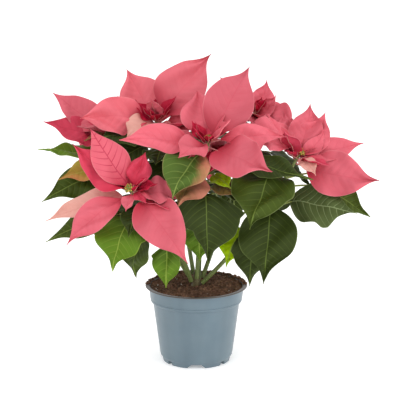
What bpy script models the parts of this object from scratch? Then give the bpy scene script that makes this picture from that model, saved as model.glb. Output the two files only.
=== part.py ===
"""A poinsettia in a 13 cm nursery pot: seven leafy shoots on one short main stem, each ending in a head of
coloured bracts round a cluster of small flowers. Metres, +Z up; the front faces -Y and the pot stands at the
origin. Every solid is closed, and neighbours are kept GAP apart."""

import math
import random

import bmesh
import bpy
import numpy as np
from mathutils.bvhtree import BVHTree

for old in list(bpy.data.objects):
    bpy.data.objects.remove(old)

MM = 0.001
GAP = 0.3  # mm between neighbouring solids, the fit of parts that touch

# Pot, mm: a thermoformed 13 cm nursery pot on a ring of feet.
POT_HEIGHT = 99.0
RIM_R = 65.0
RIM_LIP = 2.0
COLLAR_TOP_R = 60.6
COLLAR_FOOT_R = 58.8
COLLAR_FOOT_Z = 81.3
STEP_R = 55.6
STEP_Z = 77.3
WALL_FOOT_R = 46.0
WALL_FOOT_Z = 7.5
FOOT_R = 44.0
FLOOR_Z = 4.9
WALL = 1.5
EDGE = 0.8  # small round or draft on the rim and the feet
FOOT_DEPTH = 9.0
NOTCHES = (0, 90, 180, 270)  # azimuths of the wide gaps in the ring of feet
NOTCH_SPAN = (36.0, 17.0)  # degrees of a wide gap at the bottom and at its top
SLOTS = (50, 130, 230, 310)
SLOT_SPAN = (12.0, 8.0)
PAD_R = 14.0  # flat pad in the middle of the underside, level with the feet
PAD_DRAFT = 1.5
DRAIN_R = 3.5
DRAIN_RING_R = 25.0
DRAINS = 6
POT_SIDES = 42  # and the soil's
CUT_PAST = 3.0  # how far a cutter runs past the wall it cuts

# Soil, mm.
SOIL_Z = 94.0
SOIL_CROWN_Z = 97.0
PLUG_R = 14.0
SOIL_BUMP = 1.3
SOIL_RINGS = ((48.0, 0.8), (38.0, 1.6), (27.0, 2.4))  # radius, and height over SOIL_Z, of its crumbly top

# Main stem and shoots, mm.
MAIN_HEIGHTS = (0.0, 3.0, 8.0, 16.7, 18.7)  # over its flat foot, just clear of the soil
MAIN_RADII = (7.5, 5.6, 5.0, 4.2, 2.6)
MAIN_SIDES = 16
SHOOT_FOOT_R = 2.8
SHOOT_TIP_R = 2.0
BRACT_ZONE = 30.0  # length of shoot that carries bracts, from its tip down
LEAF_ZONE = 84.0  # length of shoot below that, which carries green leaves

# Blades, mm.
STALK_R = 1.1
BLADE_THICK = 1.1
SLENDER = 95.0  # a long blade is at least this share of its length thick
BRACT_STALK = 0.14  # share of a bract's length that is stalk
LEAF_STALK = 0.32
BRACT_CUP = 14.0
LEAF_CUP = 9.0
GOLDEN = 137.5
BLADE_STATIONS = (0.1, 0.3, 0.55, 0.8, 1.0)
SMALL_STATIONS = (0.15, 0.45, 0.75, 1.0)
SMALL_BLADE = 84.0
TIP_WIDE = 0.8
MORE_BRACTS = 9
MORE_LEAVES = 7
BRACT_APART = 28.0  # degrees kept clear of a listed blade
LEAF_APART = 30.0
LISTED_LONG = 45.0  # a listed blade shorter than this leaves room for others
LEAN = 30.0  # degrees by which the outermost head tips outwards
SPREAD = 110.0  # how far out the outermost heads stand

# Flowers, mm: a cup on the shoot's end with small beads on it.
CUP_TALL = 4.0
CUP_R = 2.8
BEAD_R = 1.9
BEAD_RING_R = 3.0
BEAD_LIFT = 0.3  # of the ring of beads over the cup
MIDDLE_LIFT = 1.4
BEADS = 5

# Each shoot: where its foot leaves the main stem, how far out and up its bend lies, its tip, and its blades.
# Azimuth turns from the front (-Y) towards +X. A blade is
# (drop from the tip, azimuth, rise, length, width, droop along it, roll). No further blade grows near a "bare"
# azimuth.
SHOOTS = {
    "front_left": {
        "foot": (-50, 103), "bend": (0.22, 0.5), "tip": (-81, -70, 238), "bare": (2, -30),
        "bracts": [
            (12, -97, 33, 98, 46, -12, -62),
            (16, -96, 50, 100, 46, -16, -70),
            (5, 124, 66, 50, 38, -6, 40),
            (7, 83, 8, 58, 44, 34, 34),
            (9, 44, -28, 116, 60, 25, 40),
            (11, -66, -16, 106, 42, 30, -40),
            (15, -94, -7, 119, 38, 22, -50),
            (6, -20, -30, 30, 18, 20, 0),
            (6, 45, -10, 28, 18, 20, 20),
            (8, 74, 24, 34, 20, 0, 30),
        ],
        "leaves": [
            (42, -48, -10, 100, 66, 64, -20),
            (66, -92, 13, 150, 38, 38, -60),
            (74, -68, -2, 90, 62, 95, -25),
            (88, -2, -15, 84, 36, 95, 10),
        ],
    },
    "left": {
        "foot": (-100, 106), "bend": (0.5, 0.4), "tip": (-109, 60, 289),
        "bracts": [
            (14, -100, 34, 102, 46, -1, -48),
            (21, -80, 19, 101, 44, 2, -43),
            (5, -56, -4, 44, 18, 8, 0),
            (8, -30, -20, 32, 16, 10, 0),
        ],
        "leaves": [
            (55, -96, 24, 123, 38, 23, -15),
            (66, -62, 27, 110, 34, 39, -45),
            (70, -69, 15, 131, 42, 38, -55),
            (33, -20, 35, 72, 41, 66, -8),
        ],
    },
    "back_left": {
        "foot": (-152, 110), "bend": (0.3, 0.5), "tip": (-52, 30, 310),
        "bracts": [
            (14, -135, 47, 90, 58, -8, -42),
            (12, 100, 60, 113, 68, 16, 64),
            (14, -75, 25, 104, 54, 30, -62),
            (9, -43, 7, 56, 42, 40, -30),
            (8, 150, 48, 42, 28, -30, 0),
            (8, 60, 42, 46, 28, -20, 40),
            (10, -90, 24, 44, 26, -50, -40),
            (7, 40, -5, 30, 18, 20, 20),
            (12, 78, 14, 64, 40, 10, 50),
        ],
        "leaves": [
            (35, -68, 34, 94, 48, 46, -33),
            (50, -5, 0, 90, 50, 60, 0),
            (52, -63, 33, 100, 60, 69, -27),
        ],
    },
    "front": {
        "foot": (5, 108), "bend": (0.3, 0.5), "tip": (15, -40, 294),
        "bracts": [
            (13, 129, 58, 117, 64, 4, 50),
            (9, -72, 16, 112, 42, 22, -50),
            (6, -36, 6, 60, 38, 30, -30),
            (16, -32, -2, 96, 60, 55, -20),
            (10, 46, -10, 110, 64, -7, 39),
            (5, 87, 16, 97, 30, 23, 61),
            (8, -120, 40, 36, 20, -30, -40),
            (8, -60, 40, 32, 16, -20, -30),
            (13, 7, -17, 47, 34, 15, 10),
            (12, -169, 53, 81, 57, 2, -11),
            (9, 66, 45, 46, 30, -8, 23),
        ],
        "leaves": [
            (33, -29, -15, 86, 58, 19, -20),
            (36, 69, 14, 140, 36, 31, 35),
            (50, 2, -10, 131, 82, 84, -10),
            (90, -10, -44, 76, 38, 60, 0),
            (43, 33, -2, 61, 26, 12, 20),
            (58, 40, 8, 68, 34, 23, 20),
        ],
    },
    "right": {
        "foot": (58, 101), "bend": (0.55, 0.38), "tip": (129, -10, 271), "bare": (33,),
        "bracts": [
            (4, -78, 49, 85, 50, 51, -41),
            (14, 141, 48, 80, 46, -30, 40),
            (14, 126, 38, 77, 46, -28, 40),
            (15, 105, 28, 58, 22, -32, 60),
            (10, 96, 17, 88, 34, 12, 50),
            (14, 73, -19, 109, 62, -27, 60),
            (7, 27, 2, 50, 22, 36, 20),
            (11, -156, 56, 68, 40, 2, -10),
        ],
        "leaves": [
            (43, -23, 33, 134, 80, 86, -10),
            (60, -10, -5, 140, 74, 77, 0),
            (89, -21, -20, 106, 48, 68, -20),
            (101, -54, -9, 80, 43, 65, -17),
            (50, 88, 7, 125, 48, 43, 48),
            (90, 66, 30, 128, 58, 45, 50),
        ],
    },
    "back_right": {
        "foot": (108, 106), "bend": (0.5, 0.42), "tip": (77, 60, 317),
        "bracts": [
            (16, 150, 28, 62, 34, -47, 36),
            (13, 70, 20, 44, 26, -49, 60),
            (9, 52, -3, 62, 56, 32, 45),
            (11, 85, 6, 50, 38, 20, 50),
            (11, 0, 10, 56, 38, 30, 0),
        ],
        "leaves": [
            (47, 127, 42, 58, 22, -8, 37),
        ],
    },
    "back": {
        "foot": (158, 103), "bend": (0.25, 0.5), "tip": (14, 112, 262),
        "bracts": [],
        "leaves": [],
    },
}


def aim(azimuth, pitch):
    """The unit direction that faces an azimuth and rises by a pitch, both in degrees."""
    a, p = math.radians(azimuth), math.radians(pitch)
    return np.array([math.sin(a) * math.cos(p), -math.cos(a) * math.cos(p), math.sin(p)])


def smooth(low, high, t):
    t = min(1.0, max(0.0, (t - low) / (high - low)))
    return t * t * (3 - 2 * t)


def shoot_line(shoot, steps=48):
    """Points down a shoot's centreline from its tip to its foot, and the drop of each from the tip."""
    azimuth, height = shoot["foot"]
    out, up = shoot["bend"]
    tip = np.array(shoot["tip"], float)
    level, climb = out * math.hypot(tip[0], tip[1]), up * (tip[2] - height)
    seat = SHOOT_FOOT_R * climb / math.hypot(level, climb)  # reach of the slanted flat foot to the stem
    stem_r = np.interp(height - SOIL_CROWN_Z - GAP, MAIN_HEIGHTS, MAIN_RADII)
    foot = aim(azimuth, 0) * (stem_r + GAP + seat) + (0, 0, height)
    bend = foot + (tip - foot) * (out, out, up)
    t = np.linspace(1, 0, steps + 1)[:, None]
    points = (1 - t) ** 2 * foot + 2 * t * (1 - t) * bend + t * t * tip
    spans = np.linalg.norm(np.diff(points, axis=0), axis=1)
    return points, np.concatenate([[0], np.cumsum(spans)])


def at_drop(line, drop):
    points, drops = line
    return np.array([np.interp(drop, drops, points[:, k]) for k in range(3)])


def fullness(b, stalk):
    """A blade's half width along it, as a share of its most: rounded near the stalk, drawn out to the tip."""
    if not 0 < b < 1:
        return 0.0
    rise, fall = (0.75, 1.25) if stalk == LEAF_STALK else (1.0, 1.3)
    widest = rise / (rise + fall)
    return (b / widest) ** rise * ((1 - b) / (1 - widest)) ** fall


def blade_line(start, blade, stalk, steps=24):
    """Points, sides and normals along a blade's middle: it leaves at its rise and droops at its joint."""
    _, azimuth, rise, length, _, droop, roll = blade
    across = np.array([math.cos(math.radians(azimuth)), math.sin(math.radians(azimuth)), 0])
    knee = 0.6 if stalk == LEAF_STALK else 0.0
    points, sides, normals = [np.array(start)], [], []
    for i in range(steps + 1):
        s = i / steps
        bent = knee * smooth(stalk - 0.12, stalk + 0.15, s) + (1 - knee) * s
        along = aim(azimuth, rise - droop * bent)
        up = np.cross(along, across)
        turn = math.radians(roll) * smooth(0, 0.4, s)
        sides.append(across * math.cos(turn) + up * math.sin(turn))
        normals.append(up * math.cos(turn) - across * math.sin(turn))
        if i < steps:
            points.append(points[-1] + along * length / steps)
    return np.array(points), np.array(sides), np.array(normals)


def blade_solid(start, blade, stalk, spread=0.0):
    """Points and faces of one closed blade with its stalk, in six-point sections: left, middle and right on
    both sides. A spread above 0 swells it, to measure the room round it."""
    points, sides, normals = blade_line(start, blade, stalk)
    length, width = blade[3], blade[4]
    half_thick = max(BLADE_THICK, length / SLENDER) / 2
    cup = math.radians(LEAF_CUP if stalk == LEAF_STALK else BRACT_CUP)
    shares = BLADE_STATIONS if length > SMALL_BLADE else SMALL_STATIONS
    stations = [(0.0, STALK_R, STALK_R)]
    if stalk == LEAF_STALK:
        stations.append((stalk, STALK_R, STALK_R * 0.9))
    for b in shares:
        half = max(width / 2 * fullness(b, stalk), TIP_WIDE)
        stations.append((stalk + (1 - stalk) * b, half, half_thick))
    rings = []
    for s, half, thick in stations:
        at = np.array([np.interp(s, np.linspace(0, 1, len(points)), points[:, k]) for k in range(3)])
        i = min(int(s * (len(points) - 1) + 0.5), len(points) - 1)
        side, normal = sides[i], normals[i]
        half, thick = half + spread, thick + spread
        lift = normal * half * math.sin(cup) * (half > 2 * STALK_R)
        edge = side * half * math.cos(cup)
        ring = [at - edge + lift, at, at + edge + lift]
        rings.append([p + normal * thick for p in ring] + [p - normal * thick for p in reversed(ring)])
    verts = [tuple(p) for ring in rings for p in ring]
    faces = [tuple(reversed(range(6)))]
    for r in range(len(rings) - 1):
        for k in range(6):
            a, b = r * 6 + k, r * 6 + (k + 1) % 6
            faces.append((a, b, b + 6, a + 6))
    last = (len(rings) - 1) * 6
    faces.append(tuple(range(last, last + 6)))
    return verts, faces


def tube(line, top, bottom, sides=8):
    """Points and faces of the stretch of a shoot between two drops, with flat ends."""
    full = line[1][-1]
    drops = np.linspace(top, bottom, max(2, int((bottom - top) / 16) + 2))
    verts, faces = [], [tuple(range(sides))]
    for d in drops:
        along = at_drop(line, max(0, d - 1)) - at_drop(line, min(full, d + 1))
        along /= np.linalg.norm(along)
        side = np.cross(along, (0, 1, 0))
        side /= np.linalg.norm(side)
        other = np.cross(along, side)
        radius = SHOOT_TIP_R + (SHOOT_FOOT_R - SHOOT_TIP_R) * d / full
        centre = at_drop(line, d)
        for k in range(sides):
            turn = math.tau * k / sides
            verts.append(tuple(centre + radius * (side * math.cos(turn) + other * math.sin(turn))))
    for r in range(len(drops) - 1):
        for k in range(sides):
            a, b = r * sides + k, r * sides + (k + 1) % sides
            faces.append((a, a + sides, b + sides, b))
    last = (len(drops) - 1) * sides
    faces.append(tuple(reversed(range(last, last + sides))))
    return verts, faces


def material(name, colour, roughness, metallic=0.0):
    """A Principled material from an sRGB hex colour."""
    made = bpy.data.materials.new(name)
    made.use_nodes = True
    linear = []
    for k in (0, 2, 4):
        c = int(colour[k:k + 2], 16) / 255
        linear.append(c / 12.92 if c < 0.04045 else ((c + 0.055) / 1.055) ** 2.4)
    shader = made.node_tree.nodes["Principled BSDF"]
    shader.inputs["Base Color"].default_value = (*linear, 1)
    shader.inputs["Roughness"].default_value = roughness
    shader.inputs["Metallic"].default_value = metallic
    return made


def solid(name, verts, faces, look=None):
    """A mesh object from points in mm, with its faces turned outwards."""
    mesh = bpy.data.meshes.new(name)
    mesh.from_pydata([(x * MM, y * MM, z * MM) for x, y, z in verts], [], faces)
    work = bmesh.new()
    work.from_mesh(mesh)
    bmesh.ops.recalc_face_normals(work, faces=work.faces)
    bmesh.ops.triangulate(work, faces=work.faces)
    work.to_mesh(mesh)
    work.free()
    if look:
        mesh.materials.append(look)
    made = bpy.data.objects.new(name, mesh)
    bpy.context.scene.collection.objects.link(made)
    return made


def revolve(name, profile, sides, look):
    """A closed solid of revolution from a closed profile of (radius, height) in mm."""
    verts, faces = [], []
    for k in range(sides):
        turn = math.tau * k / sides
        verts += [(r * math.cos(turn), r * math.sin(turn), z) for r, z in profile]
    n = len(profile)
    for k in range(sides):
        for i in range(n):
            a, b = k * n + i, k * n + (i + 1) % n
            c, d = ((k + 1) % sides) * n + (i + 1) % n, ((k + 1) % sides) * n + i
            faces.append((a, b, c, d))
    made = solid(name, verts, faces, look)
    work = bmesh.new()
    work.from_mesh(made.data)
    bmesh.ops.remove_doubles(work, verts=work.verts, dist=1e-7)
    bmesh.ops.recalc_face_normals(work, faces=work.faces)
    work.to_mesh(made.data)
    work.free()
    return made


def bake(target):
    """The target's evaluated mesh becomes its own, and its modifiers go."""
    graph = bpy.context.evaluated_depsgraph_get()
    mesh = bpy.data.meshes.new_from_object(target.evaluated_get(graph))
    target.modifiers.clear()
    target.data = mesh


def keep_largest(mesh):
    """Removes every shell but the one with most faces, such as the wall of a pocket where blades cross."""
    work = bmesh.new()
    work.from_mesh(mesh)
    left, shells = set(work.faces), []
    while left:
        shell, edge = set(), [left.pop()]
        while edge:
            face = edge.pop()
            shell.add(face)
            near = {other for side in face.edges for other in side.link_faces} & left
            left -= near
            edge += near
        shells.append(shell)
    shells.sort(key=len)
    for shell in shells[:-1]:
        bmesh.ops.delete(work, geom=list(shell), context="FACES")
    work.to_mesh(mesh)
    work.free()


def fuse(name, first, others, look):
    """One solid from several that overlap, by a single union on a collection."""
    body = solid(name, *first, look)
    group = bpy.data.collections.new(name + "_pieces")
    bpy.context.scene.collection.children.link(group)
    for i, piece in enumerate(others):
        made = solid(f"{name}_{i}", *piece)
        bpy.context.scene.collection.objects.unlink(made)
        group.objects.link(made)
    union = body.modifiers.new("union", "BOOLEAN")
    union.operation = "UNION"
    union.operand_type = "COLLECTION"
    union.solver = "EXACT"
    union.collection = group
    bpy.context.view_layer.update()
    bake(body)
    keep_largest(body.data)
    for made in list(group.objects):
        bpy.data.objects.remove(made)
    bpy.data.collections.remove(group)
    body.data.materials.clear()
    body.data.materials.append(look)
    return body


def cut(target, cutter):
    """Takes the cutter out of the target and hides it."""
    carve = target.modifiers.new("cut_" + cutter.name, "BOOLEAN")
    carve.operation = "DIFFERENCE"
    carve.solver = "EXACT"
    carve.object = cutter
    cutter.hide_render = True
    cutter.display_type = "WIRE"


def bead(centre, radius, sides=5, rings=3):
    """Points and faces of a small round bead."""
    verts = [(centre[0], centre[1], centre[2] - radius)]
    for r in range(1, rings):
        turn = math.pi * r / rings
        for k in range(sides):
            a = math.tau * (k + 0.5 * (r % 2)) / sides
            out = radius * math.sin(turn)
            verts.append((centre[0] + out * math.cos(a), centre[1] + out * math.sin(a),
                          centre[2] - radius * math.cos(turn)))
    verts.append((centre[0], centre[1], centre[2] + radius))
    faces = []
    for k in range(sides):
        n = (k + 1) % sides
        faces.append((0, 1 + n, 1 + k))
        for r in range(rings - 2):
            a = 1 + r * sides
            faces.append((a + k, a + n, a + sides + n, a + sides + k))
        a = 1 + (rings - 2) * sides
        faces.append((a + k, a + n, len(verts) - 1))
    return verts, faces


def free(node, verts, faces, claimed):
    """Whether a piece keeps clear of everything that belongs to another node."""
    tree = BVHTree.FromPolygons(verts, faces)
    return not any(owner != node and tree.overlap(other) for owner, other in claimed)


def claim(node, piece, claimed):
    claimed.append((node, BVHTree.FromPolygons(*piece)))


def blade_pieces(node, line, blades, stalk, claimed):
    """The blades of one node that keep to its own space, each a closed piece."""
    pieces = []
    for blade in blades:
        start = at_drop(line, blade[0])
        if free(node, *blade_solid(start, blade, stalk, GAP), claimed):
            pieces.append(blade_solid(start, blade, stalk))
            claim(node, pieces[-1], claimed)
    return pieces


def listed_near(blades, shoot, azimuth, within):
    """Whether an azimuth is near a long listed blade, or near a side that the shoot keeps bare."""
    taken = [blade[1] for blade in blades if blade[3] > LISTED_LONG] + list(shoot.get("bare", ()))
    return any(abs((other - azimuth + 180) % 360 - 180) < within for other in taken)


def outward(shoot):
    """The azimuth in which a shoot's tip leans out, and how far out it is in mm."""
    x, y, _ = shoot["tip"]
    return math.degrees(math.atan2(x, -y)), math.hypot(x, y)


def more_bracts(shoot, draw):
    """Bracts on the sides where none is listed, by the golden angle: steep on top and flatter below."""
    lean_to, out = outward(shoot)
    lean = LEAN * out / SPREAD
    made = []
    for i in range(MORE_BRACTS):
        level = i / (MORE_BRACTS - 1)
        azimuth = shoot["foot"][0] + i * GOLDEN
        rise = 56 - 46 * level - lean * math.cos(math.radians(azimuth - lean_to))
        length = 46 + 44 * level + draw.uniform(-5, 5)
        roll = draw.uniform(-15, 15)
        blade = (6 + 12 * level, azimuth, rise, length, 0.5 * length, 10 + 24 * level, roll)
        if not listed_near(shoot["bracts"], shoot, azimuth, BRACT_APART):
            made.append(blade)
    return made


def more_leaves(shoot, draw):
    """Green leaves on the sides where none is listed, by the golden angle down the shoot."""
    lean_to, out = outward(shoot)
    lean = LEAN / 2 * out / SPREAD
    made = []
    for i in range(MORE_LEAVES):
        level = i / (MORE_LEAVES - 1)
        azimuth = shoot["foot"][0] + 60 + i * GOLDEN
        rise = 24 - 24 * level - lean * math.cos(math.radians(azimuth - lean_to))
        length = 112 - 30 * level + draw.uniform(-6, 6)
        drop = BRACT_ZONE + 7 + (LEAF_ZONE - 16) * level
        blade = (drop, azimuth, rise, length, 0.48 * length, 50 + 20 * level, draw.uniform(-10, 10))
        if not listed_near(shoot["leaves"], shoot, azimuth, LEAF_APART):
            made.append(blade)
    return made


# Materials of the sub-parts.
POT_LOOK = material("pot_plastic", "7A8F9B", 0.38)
SOIL_LOOK = material("peat", "3F2C22", 0.95)
STEM_LOOK = material("green_stem", "6F7C48", 0.6)
SHOOT_LOOK = material("green_shoot", "7F8A4C", 0.6)
LEAF_LOOK = material("green_leaf", "46562F", 0.5)
BRACT_LOOK = material("pink_bract", "E0566A", 0.55)
FLOWER_LOOK = material("yellow_green_bud", "A9AE4A", 0.5)


def make_pot():
    """A thin moulded pot: lip, collar over a step, tapered wall, ring of feet, drain holes and pad."""
    inner_foot = FOOT_R - FOOT_DEPTH
    lip_z = POT_HEIGHT - RIM_LIP
    underside = [
        (0, 0), (PAD_R, 0), (PAD_R + PAD_DRAFT, FLOOR_Z), (inner_foot - EDGE, FLOOR_Z), (inner_foot, 0),
    ]
    outside = [
        (FOOT_R - EDGE, 0), (FOOT_R, WALL_FOOT_Z - EDGE), (WALL_FOOT_R, WALL_FOOT_Z),
        (STEP_R, STEP_Z), (COLLAR_FOOT_R, COLLAR_FOOT_Z), (COLLAR_TOP_R, lip_z),
        (RIM_R - EDGE / 2, lip_z), (RIM_R, lip_z + EDGE), (RIM_R - EDGE, POT_HEIGHT),
    ]
    inside = [
        (COLLAR_TOP_R - WALL, POT_HEIGHT), (COLLAR_FOOT_R - WALL, COLLAR_FOOT_Z), (STEP_R - WALL, STEP_Z),
        (FOOT_R - WALL, WALL_FOOT_Z), (FOOT_R - 3 * WALL, FLOOR_Z + WALL), (0, FLOOR_Z + WALL),
    ]
    pot = revolve("pot", underside + outside + inside, POT_SIDES, POT_LOOK)
    gaps = [(middle, NOTCH_SPAN) for middle in NOTCHES] + [(middle, SLOT_SPAN) for middle in SLOTS]
    for i, (middle, span) in enumerate(gaps):
        verts = []
        for out in (inner_foot - CUT_PAST, FOOT_R + CUT_PAST):
            for wide, z in zip(span, (-CUT_PAST, FLOOR_Z)):
                for sign in (-1, 1):
                    verts.append(tuple(aim(middle + sign * wide / 2, 0) * out + (0, 0, z)))
        faces = [(0, 1, 3, 2), (4, 6, 7, 5), (0, 4, 5, 1), (2, 3, 7, 6), (0, 2, 6, 4), (1, 5, 7, 3)]
        cut(pot, solid(f"notch_{i}", verts, faces))
    for i in range(DRAINS):
        centre = aim((i + 0.5) * 360 / DRAINS, 0) * DRAIN_RING_R
        verts = []
        for z in (FLOOR_Z - CUT_PAST, FLOOR_Z + WALL + CUT_PAST):
            for k in range(8):
                a = math.tau * k / 8
                verts.append(tuple(centre + (DRAIN_R * math.cos(a), DRAIN_R * math.sin(a), z)))
        faces = [tuple(range(8)), tuple(range(8, 16))]
        faces += [(k, (k + 1) % 8, 8 + (k + 1) % 8, 8 + k) for k in range(8)]
        cut(pot, solid(f"drain_{i}", verts, faces))


def make_soil():
    """Peat that fills the pot, a little mounded and crumbly, with a flat plug round the main stem."""
    slack = WALL + GAP
    collar = (SOIL_Z - COLLAR_FOOT_Z) / (POT_HEIGHT - COLLAR_FOOT_Z)
    top_r = COLLAR_FOOT_R + (COLLAR_TOP_R - COLLAR_FOOT_R) * collar - slack
    rings = [
        (FOOT_R - 3 * WALL - GAP, FLOOR_Z + slack, 0), (FOOT_R - slack, WALL_FOOT_Z + GAP, 0),
        (STEP_R - slack, STEP_Z, 0), (COLLAR_FOOT_R - slack, COLLAR_FOOT_Z, 0), (top_r, SOIL_Z, 0.2),
    ]
    rings += [(r, SOIL_Z + lift, 1) for r, lift in SOIL_RINGS]
    rings.append((PLUG_R, SOIL_CROWN_Z, 0))
    verts = [(0, 0, FLOOR_Z + slack)]
    for r, z, bump in rings:
        for k in range(POT_SIDES):
            a = math.tau * k / POT_SIDES
            wave = math.sin(5 * a + r) + math.sin(8 * a - 0.7 * r) + math.sin(13 * a + 2 * r)
            verts.append((r * math.cos(a), r * math.sin(a), z + SOIL_BUMP * bump * wave / 3))
    verts.append((0, 0, SOIL_CROWN_Z))
    faces = []
    for k in range(POT_SIDES):
        n = (k + 1) % POT_SIDES
        faces.append((0, 1 + n, 1 + k))
        for r in range(len(rings) - 1):
            a = 1 + r * POT_SIDES
            faces.append((a + k, a + n, a + POT_SIDES + n, a + POT_SIDES + k))
        a = 1 + (len(rings) - 1) * POT_SIDES
        faces.append((a + k, a + n, len(verts) - 1))
    solid("soil", verts, faces, SOIL_LOOK)


def make_main_stem(claimed):
    """A short stem that flares at the soil and narrows to its cut top, where the shoots leave it."""
    foot, top = SOIL_CROWN_Z + GAP, SOIL_CROWN_Z + GAP + MAIN_HEIGHTS[-1]
    profile = [(0, foot)] + [(r, foot + z) for r, z in zip(MAIN_RADII, MAIN_HEIGHTS)] + [(0, top)]
    revolve("main_stem", profile, MAIN_SIDES, STEM_LOOK)
    quarters = [aim(turn, 0) * MAIN_RADII[0] for turn in (0, 90, 180, 270)]
    room = [tuple(corner + (0, 0, z)) for z in (foot, top) for corner in quarters]
    claim("main_stem", (room, [(0, 1, 5, 4), (1, 2, 6, 5), (2, 3, 7, 6), (3, 0, 4, 7)]), claimed)


def flower_pieces(line):
    """The cup on a shoot's end and the beads on it."""
    tip = at_drop(line, 0)
    along = tip - at_drop(line, 4)
    along /= np.linalg.norm(along)
    side = np.cross(along, (0, 1, 0))
    side /= np.linalg.norm(side)
    other = np.cross(along, side)
    verts, faces = [], [tuple(range(8))]
    for height, radius in ((GAP, SHOOT_TIP_R), (CUP_TALL, CUP_R)):
        for k in range(8):
            a = math.tau * k / 8
            verts.append(tuple(tip + along * height + radius * (side * math.cos(a) + other * math.sin(a))))
    faces += [(k, (k + 1) % 8, 8 + (k + 1) % 8, 8 + k) for k in range(8)] + [tuple(range(8, 16))]
    beads = [bead(tip + along * (CUP_TALL + MIDDLE_LIFT), BEAD_R)]
    for k in range(BEADS):
        a = math.tau * k / BEADS
        place = side * math.cos(a) + other * math.sin(a)
        beads.append(bead(tip + along * (CUP_TALL + BEAD_LIFT) + place * BEAD_RING_R, BEAD_R))
    return (verts, faces), beads


def make_plant():
    """Every shoot: its bough, leaves, bracts and flowers, each a node that keeps to its own space."""
    claimed = []
    make_main_stem(claimed)
    lines = {name: shoot_line(shoot) for name, shoot in SHOOTS.items()}
    split = BRACT_ZONE + GAP + LEAF_ZONE
    for name, line in lines.items():
        bough = tube(line, split + GAP, line[1][-1])
        solid("bough_" + name, *bough, SHOOT_LOOK)
        claim("bough_" + name, bough, claimed)
        claim("leaves_" + name, tube(line, BRACT_ZONE + GAP, split), claimed)
        claim("bracts_" + name, tube(line, 0, BRACT_ZONE), claimed)
        cup, beads = flower_pieces(line)
        fuse("flowers_" + name, cup, beads, FLOWER_LOOK)
        for piece in [cup] + beads:
            claim("flowers_" + name, piece, claimed)
    bracts, leaves = {}, {}
    for name, shoot in SHOOTS.items():
        bracts[name] = blade_pieces("bracts_" + name, lines[name], shoot["bracts"], BRACT_STALK, claimed)
    for name, shoot in SHOOTS.items():
        leaves[name] = blade_pieces("leaves_" + name, lines[name], shoot["leaves"], LEAF_STALK, claimed)
    for i, (name, shoot) in enumerate(SHOOTS.items()):
        more = more_bracts(shoot, random.Random(i))
        bracts[name] += blade_pieces("bracts_" + name, lines[name], more, BRACT_STALK, claimed)
    for i, (name, shoot) in enumerate(SHOOTS.items()):
        more = more_leaves(shoot, random.Random(20 + i))
        leaves[name] += blade_pieces("leaves_" + name, lines[name], more, LEAF_STALK, claimed)
    for name, line in lines.items():
        fuse("bracts_" + name, tube(line, 0, BRACT_ZONE), bracts[name], BRACT_LOOK)
        fuse("leaves_" + name, tube(line, BRACT_ZONE + GAP, split), leaves[name], LEAF_LOOK)


make_pot()
make_soil()
make_plant()
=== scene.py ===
import math
import random

import bmesh
import bpy
import numpy as np
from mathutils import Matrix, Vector, noise
from mathutils.bvhtree import BVHTree


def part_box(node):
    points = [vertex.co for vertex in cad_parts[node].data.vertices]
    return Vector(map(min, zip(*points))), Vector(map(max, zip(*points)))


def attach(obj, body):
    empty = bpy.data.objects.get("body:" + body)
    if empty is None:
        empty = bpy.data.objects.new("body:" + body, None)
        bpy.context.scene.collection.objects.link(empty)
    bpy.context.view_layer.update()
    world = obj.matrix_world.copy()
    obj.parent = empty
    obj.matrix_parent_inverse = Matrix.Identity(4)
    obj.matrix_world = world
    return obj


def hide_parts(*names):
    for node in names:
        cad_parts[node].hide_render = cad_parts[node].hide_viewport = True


# A potted poinsettia: a nursery pot of peat, a short stem that forks into shoots, dark green leaves, and
# heads of coral-pink bracts round small yellow-green flowers. Metres, +Z up; the front faces -Y.
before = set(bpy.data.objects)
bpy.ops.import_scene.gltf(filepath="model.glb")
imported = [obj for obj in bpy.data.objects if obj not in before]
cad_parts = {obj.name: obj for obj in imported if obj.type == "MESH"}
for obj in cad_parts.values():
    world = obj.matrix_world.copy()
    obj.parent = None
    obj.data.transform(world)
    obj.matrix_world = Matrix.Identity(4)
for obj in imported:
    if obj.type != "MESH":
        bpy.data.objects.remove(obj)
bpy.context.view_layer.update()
bpy.ops.object.select_all(action="DESELECT")


# Pot: a 13 cm nursery pot, thermoformed from thin blue-grey polypropylene sheet. It has a rolled lip, a
# collar over a step, a tapered wall and a ring of feet, parted by wide and narrow gaps that let water
# drain. The sheet's skin is smooth and a little glossy, with a faint mottle and dust from the bench.
MM = 0.001
POT_STEPS = 144
_, pot_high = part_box("pot")
RIM_R = pot_high.x / MM
POT_TOP = pot_high.z / MM
PAD_R = 14.0
FLOOR_Z = 4.9
FOOT_IN_R, FOOT_OUT_R = 35.0, 43.4
WALL = 1.3
POT_OUTSIDE = [
    (FOOT_OUT_R - 0.7, 0.0), (FOOT_OUT_R, 0.7), (44.0, 5.2), (44.8, 6.2), (46.0, 7.6), (46.5, 9.6),
    (55.2, 75.7), (55.6, 76.9), (56.6, 77.6), (57.9, 78.4), (58.5, 79.6), (58.5, 81.3), (58.2, 81.6),
    (58.9, 82.0), (60.4, 95.6),
    (61.0, 96.9), (62.4, 97.2), (RIM_R - 0.6, 97.2), (RIM_R, 97.7), (RIM_R, POT_TOP - 0.6),
    (RIM_R - 0.6, POT_TOP),
]
POT_INSIDE = [
    (61.2, POT_TOP), (59.8, POT_TOP - 0.5), (59.1, POT_TOP - 1.6), (57.7, 82.7), (57.2, 80.9), (54.4, 77.7),
    (54.0, 75.7), (44.6, 9.8), (42.6, FLOOR_Z + WALL), (0.0, FLOOR_Z + WALL),
]
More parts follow.
